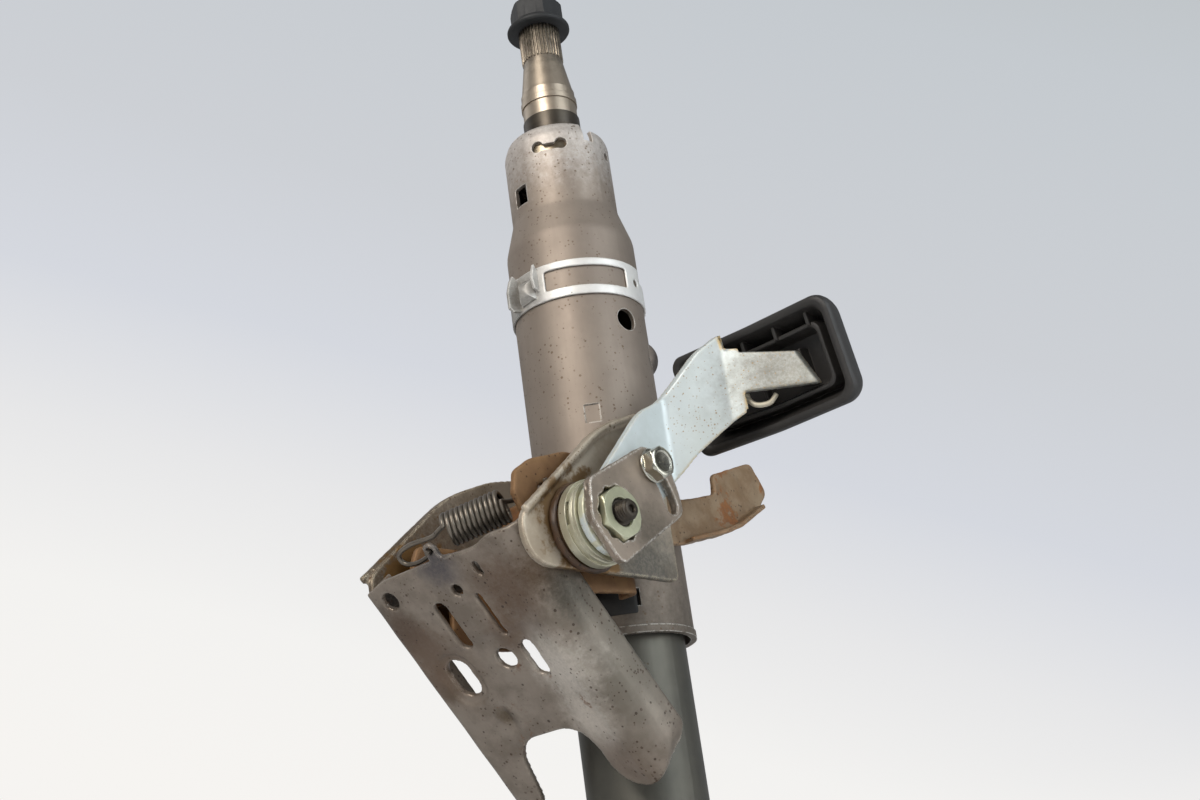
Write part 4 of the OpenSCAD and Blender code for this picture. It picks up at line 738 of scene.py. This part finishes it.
# lumps of old grease squeezed out round the washers
greaseRing = dict(inner=16.6, lip=0.4, reach=0.9, least=0.25, lump=0.6, lumps=3.2, drift=0.4, x=47.45,
    width=2.6, rows=[(0.0, 0.9), (0.5, 1.05), (1.0, 1.0), (1.5, 0.8), (2.0, 0.55), (2.6, 0.2)])


def greaseLump(x, out):
    def reach(a):
        lumps = greaseRing["lumps"]
        at = Vector((lumps * math.cos(a), lumps * math.sin(a), x * greaseRing["drift"]))
        lump = out + greaseRing["lump"] * noise.fractal(at, 1.0, 2.0, 3)
        return greaseRing["inner"] + max(greaseRing["least"], greaseRing["reach"] * lump)
    return reach


lip, ringX = greaseRing["inner"] - greaseRing["lip"], greaseRing["x"]
rings = [circleAt(lip, ringX, onBolt)]
rings += [circleAt(greaseLump(ringX + h, out), ringX + h, onBolt) for h, out in greaseRing["rows"]]
rings += [circleAt(lip, ringX + greaseRing["width"], onBolt)]
build("greaseRing", [(rings, True)], "oldGrease", "column", "dark_steel", sharp=80)

# a thin dark sheet low on the jacket under the saddle: painted shade, put where the jacket lies in shadow
shadeSheet = dict(inner=28.45, outer=29.0, low=248.0, high=258.5, start=-66, end=-34, steps=24, inset=0.6,
    soft=(0.2, 0.4))


def shadeSheetRing(angle, inset):
    step, rise = shadeSheet["soft"]
    a, r0, r1 = math.radians(angle), shadeSheet["inner"], shadeSheet["outer"] - inset * rise
    z0, z1 = shadeSheet["low"] + inset, shadeSheet["high"] - inset
    corners = ((r0, z0), (r1 - step, z0), (r1, z0 + rise), (r1, z1 - rise), (r1 - step, z1), (r0, z1))
    return [onColumn(r, a, z) for r, z in corners]


rings = []
for i in range(shadeSheet["steps"] + 1):
    angle = shadeSheet["start"] + (shadeSheet["end"] - shadeSheet["start"]) * i / shadeSheet["steps"]
    rings.append(shadeSheetRing(angle, shadeSheet["inset"] if i in (0, shadeSheet["steps"]) else 0.0))
build("shadeSheet", [(rings, False)], "bushRubber", "jacket", "bush_rubber", sharp=50)
print("grease and pad done")


# wires are drawn along a path by one node tree
def wireTree():
    tree = bpy.data.node_groups.new("drawnWire", "GeometryNodeTree")
    face = tree.interface
    face.new_socket(name="Geometry", in_out="INPUT", socket_type="NodeSocketGeometry")
    ids = {}
    for label, kind in (("Wire Radius", "Float"), ("Sides", "Int"), ("Finish", "Material")):
        plug = face.new_socket(name=label, in_out="INPUT", socket_type="NodeSocket" + kind)
        ids[label] = plug.identifier
    face.new_socket(name="Geometry", in_out="OUTPUT", socket_type="NodeSocketGeometry")
    start, end = tree.nodes.new("NodeGroupInput").outputs, tree.nodes.new("NodeGroupOutput").inputs
    path = put(tree, "GeometryNodeMeshToCurve", Mesh=start["Geometry"]).outputs[0]
    circle = dict(Resolution=start["Sides"], Radius=start["Wire Radius"])
    outline = put(tree, "GeometryNodeCurvePrimitiveCircle", **circle).outputs[0]
    sweep = {"Curve": path, "Profile Curve": outline, "Fill Caps": True}
    tube = put(tree, "GeometryNodeCurveToMesh", **sweep).outputs[0]
    smooth = put(tree, "GeometryNodeSetShadeSmooth", Geometry=tube).outputs[0]
    whole = put(tree, "GeometryNodeRealizeInstances", Geometry=smooth).outputs[0]
    coated = put(tree, "GeometryNodeSetMaterial", Geometry=whole, Material=start["Finish"]).outputs[0]
    tree.links.new(coated, end["Geometry"])
    return tree, ids


drawnWire, wireInputs = wireTree()


def wirePiece(name, points, radius, finish, body, slot, replaced=(), sides=14):
    line = bpy.data.meshes.new(name + "Path")
    line.from_pydata([Vector(p) * mm for p in points], [(i, i + 1) for i in range(len(points) - 1)], [])
    holder = bpy.data.objects.new(name + "Path", line)
    scene.collection.objects.link(holder)
    modifier = holder.modifiers.new("wire", "NODES")
    modifier.node_group = drawnWire
    for label, value in (("Wire Radius", radius * mm), ("Sides", sides), ("Finish", made[finish])):
        modifier[wireInputs[label]] = value
    mesh = bpy.data.meshes.new_from_object(holder.evaluated_get(bpy.context.evaluated_depsgraph_get()))
    mesh.name = name
    holder.modifiers.remove(modifier)
    bpy.data.objects.remove(holder)
    bpy.data.meshes.remove(line)
    return settle(name, mesh, finish, body, slot, replaced, sharp=60)


def smoothPath(points, steps=8):
    points = [Vector(p) for p in points]
    ends = [points[0] * 2 - points[1]] + points + [points[-1] * 2 - points[-2]]
    out = []
    for i in range(1, len(ends) - 2):
        a, b, c, d = ends[i - 1:i + 3]
        for k in range(steps):
            t = k / steps
            curve = (2 * a - 5 * b + 4 * c - d) * t * t + (3 * b - a - 3 * c + d) * t ** 3
            out.append(0.5 * (2 * b + (c - a) * t + curve))
    return out + [ends[-2]]


# balance spring with a long hook at the bracket and a short one at the saddle
# the hook's rows are face points, with n from the sheet's inner side
spring = dict(turns=12, radius=6.0, wire=0.95, pitch=1.96, perTurn=32, tab=(-11, -8, 1.25), along=0.54,
    ear=(36.55, -75.0, 287.0), lead=((7.0, 0.0), (3.2, 0.5)), tail=(2.6, 0.4),
    hook=[(1.6, -3.6, -4.1), (1.4, -3.4, -1.25), (0.9, -3.1, 1.4), (-1.4, -2.2, 2.2), (-5, -0.6, 2.4),
        (-12, 0.2, 2.4), (-17.6, -0.9, 2.4), (-19.4, -3.6, 2.4), (-17.6, -6.2, 2.6), (-11, -7.2, 3.4)],
    earHook=[(-6, -0.5, -0.5), (-2.4, 0, 0), (2.4, 0, 0), (4, -0.6, 0.8), (4.6, -1.6, 3)])
tabHook, earHook = facePoint(*spring["tab"]), Vector(spring["ear"])
span = earHook - tabHook
springWay = span.normalized()
springSide = springWay.cross(Vector((0, 0, 1))).normalized()
springLift = springSide.cross(springWay)
springLow = tabHook + springWay * (spring["along"] * span.length - spring["turns"] * spring["pitch"] / 2)
springTop = springLow + springWay * spring["pitch"] * spring["turns"]
coil = []
for i in range(spring["turns"] * spring["perTurn"] + 1):
    turn = i / spring["perTurn"]
    across = math.cos(2 * math.pi * turn) * springSide + math.sin(2 * math.pi * turn) * springLift
    coil.append(springLow + springWay * spring["pitch"] * turn + spring["radius"] * across)
hookIn = [facePoint(x, t, sheet["thick"] + n) for x, t, n in spring["hook"]]
hookIn += [springLow - springWay * q + springSide * spring["radius"] * s for q, s in spring["lead"]]
hookIn = smoothPath(hookIn + [coil[0]])
tailWay, tailSide = spring["tail"]
hookOut = [coil[-1], springTop + springWay * tailWay + springSide * spring["radius"] * tailSide]
hookOut = smoothPath(hookOut + [earHook + Vector(q) for q in spring["earHook"]])
# the coil and its end hook are drawn as two wires, attached to no body
springLook = (spring["wire"], "darkSteel", None, "dark_steel", ["balance_spring"])
springCoil = wirePiece("springCoil", hookIn[:-1] + coil, *springLook)
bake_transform(springCoil)
springHook = wirePiece("springHook", coil[-3:-1] + hookOut, *springLook)
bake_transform(springHook)

# bent clip that holds the handle on the tongue
handleClip = dict(wire=1.1, path=[(83.5, -1.5, 321.3), (84.2, -1.2, 318.6), (86.0, -0.3, 316.4),
    (88.8, 1.1, 315.6), (91.7, 2.6, 316.1), (93.9, 3.8, 318.8)])
clipPath = smoothPath(handleClip["path"])
wirePiece("handleClip", clipPath, handleClip["wire"], "clipSteel", "lever", "zinc_steel", sides=12)
print("spring and clip done")

# camera where the photograph was taken from
cameraPlace = dict(at=(424.8, -468.4, 110.0), look=(-0.6240, 0.6966, 0.3541), up=(0.3408, -0.1652, 0.9255),
    lens=46.8, sensor=36.0, near=0.01)
ahead = Vector(cameraPlace["look"]).normalized()
right = ahead.cross(Vector(cameraPlace["up"])).normalized()
above = right.cross(ahead)
lens = bpy.data.cameras.new("camera")
lens.sensor_width, lens.lens, lens.clip_start = cameraPlace["sensor"], cameraPlace["lens"], cameraPlace["near"]
camera = bpy.data.objects.new("camera", lens)
camera.matrix_world = Matrix((right, above, -ahead)).transposed().to_4x4()
camera.location = Vector(cameraPlace["at"]) * mm
scene.collection.objects.link(camera)
scene.camera = camera

# studio: pale floor, soft boxes, and a sky that fades from cool grey to white
# each box has its azimuth, elevation, distance, size, power and colour
studio = dict(floorZ=-15.2, floorSize=14.0, floorFade=(0.25, 1.3), paleTint=(243, 242, 240), floorRough=0.85,
    floorTints=((242, 243, 245), (236, 238, 241)), mirrorShare=0.2, roomTint=(226, 230, 236), roomLight=0.26,
    fadeWay=(0.5377, 0.0303, 0.8879), fadeRun=(-0.3, 0.4), horizon=(0.0, 0.1), middle=(0.0, -0.02, 0.33),
    fade=[(0.0, (246, 244, 241)), (0.143, (243, 242, 240)), (0.279, (231, 231, 232)), (0.414, (213, 216, 223)),
        (0.571, (205, 208, 213)), (0.829, (197, 202, 207)), (1.0, (187, 192, 194))],
    boxes=dict(keyBox=(18, 32, 1.5, (0.6, 0.9), 17.0, (1.0, 0.955, 0.9)),
        windowBox=(98, 22, 1.4, (0.8, 0.9), 8.0, (0.86, 0.94, 1.0)),
        backBox=(285, 38, 1.7, (0.9, 0.9), 2.0, (0.95, 0.97, 1.0)),
        lowBox=(122, 0, 1.4, (0.7, 0.4), 2.0, (0.93, 0.97, 1.0))))


# camera and glass see the pale backdrop, and metal a share of it
def backdropRays(tree):
    ray = put(tree, "ShaderNodeLightPath").outputs
    straight = maths(tree, "MAXIMUM", ray["Is Camera Ray"], ray["Is Transmission Ray"])
    return maths(tree, "MAXIMUM", straight, times(tree, ray["Is Glossy Ray"], studio["mirrorShare"]))


# the floor keeps its shadow near the part and fades into the pale backdrop far from it
floorPaint = bpy.data.materials.new("floorPaint")
floorPaint.use_nodes = True
floorTree = floorPaint.node_tree
floorPlace = put(floorTree, "ShaderNodeTexCoord").outputs["Object"]
mottle = useGroup(floorTree, patches, Vector=floorPlace, Scale=4.0, Low=0.3, High=0.7)["Mask"]
floorColour = blendColours(floorTree, mottle, *(tint(*shade) for shade in studio["floorTints"]))
floorShader = floorTree.nodes["Principled BSDF"]
fill(floorTree, floorShader, {"Base Color": floorColour, "Roughness": studio["floorRough"]})
away = spread(floorTree, vectorValue(floorTree, "LENGTH", i0=floorPlace), *studio["floorFade"])
glow = put(floorTree, "ShaderNodeEmission", Color=tint(*studio["paleTint"]), Strength=1.0)
farShare = times(floorTree, away, backdropRays(floorTree))
floorMix = put(floorTree, "ShaderNodeMixShader", i0=farShare, i1=floorShader.outputs[0], i2=glow.outputs[0])
fill(floorTree, floorTree.nodes["Material Output"], {"Surface": floorMix.outputs[0]})
floorMesh = bpy.data.meshes.new("floor")
half, floorZ = studio["floorSize"], studio["floorZ"] * mm
corners = [(x * half, y * half, floorZ) for x, y in ((-1, -1), (1, -1), (1, 1), (-1, 1))]
floorMesh.from_pydata(corners, [], [(0, 1, 2, 3)])
floorMesh.materials.append(floorPaint)
floor = bpy.data.objects.new("floor", floorMesh)
scene.collection.objects.link(floor)

for name, (azimuth, elevation, distance, size, power, colour) in studio["boxes"].items():
    a, e = math.radians(azimuth), math.radians(elevation)
    way = Vector((math.sin(a) * math.cos(e), -math.cos(a) * math.cos(e), math.sin(e)))
    light = bpy.data.lights.new(name, "AREA")
    light.shape, light.energy, light.color = "RECTANGLE", power, colour
    light.size, light.size_y = size
    box = bpy.data.objects.new(name, light)
    box.rotation_mode = "QUATERNION"
    box.rotation_quaternion = way.to_track_quat("Z", "Y")
    box.location = Vector(studio["middle"]) + way * distance
    scene.collection.objects.link(box)

world = bpy.data.worlds.new("paleRoom")
scene.world = world
world.use_nodes = True
sky = world.node_tree
sky.nodes.clear()
toward = put(sky, "ShaderNodeTexCoord").outputs["Generated"]
high = vectorValue(sky, "DOT_PRODUCT", i0=toward, i1=studio["fadeWay"])
fade = put(sky, "ShaderNodeValToRGB", i0=spread(sky, high, *studio["fadeRun"], smooth=False))
for i, (place, shade) in enumerate(studio["fade"]):
    stop = fade.color_ramp.elements[i] if i < 2 else fade.color_ramp.elements.new(place)
    stop.position, stop.color = place, tint(*shade)
# the backdrop is as pale as the floor where they meet
level = put(sky, "ShaderNodeSeparateXYZ", i0=toward).outputs[2]
backTint = blendColours(sky, spread(sky, level, *studio["horizon"]), tint(*studio["paleTint"]), fade.outputs[0])
room = put(sky, "ShaderNodeBackground", Color=tint(*studio["roomTint"]), Strength=studio["roomLight"])
backdrop = put(sky, "ShaderNodeBackground", Color=backTint, Strength=1.0)
either = put(sky, "ShaderNodeMixShader", i0=backdropRays(sky), i1=room.outputs[0], i2=backdrop.outputs[0])
put(sky, "ShaderNodeOutputWorld", Surface=either.outputs[0])
scene.view_settings.view_transform = "Standard"
print("camera and studio ready")
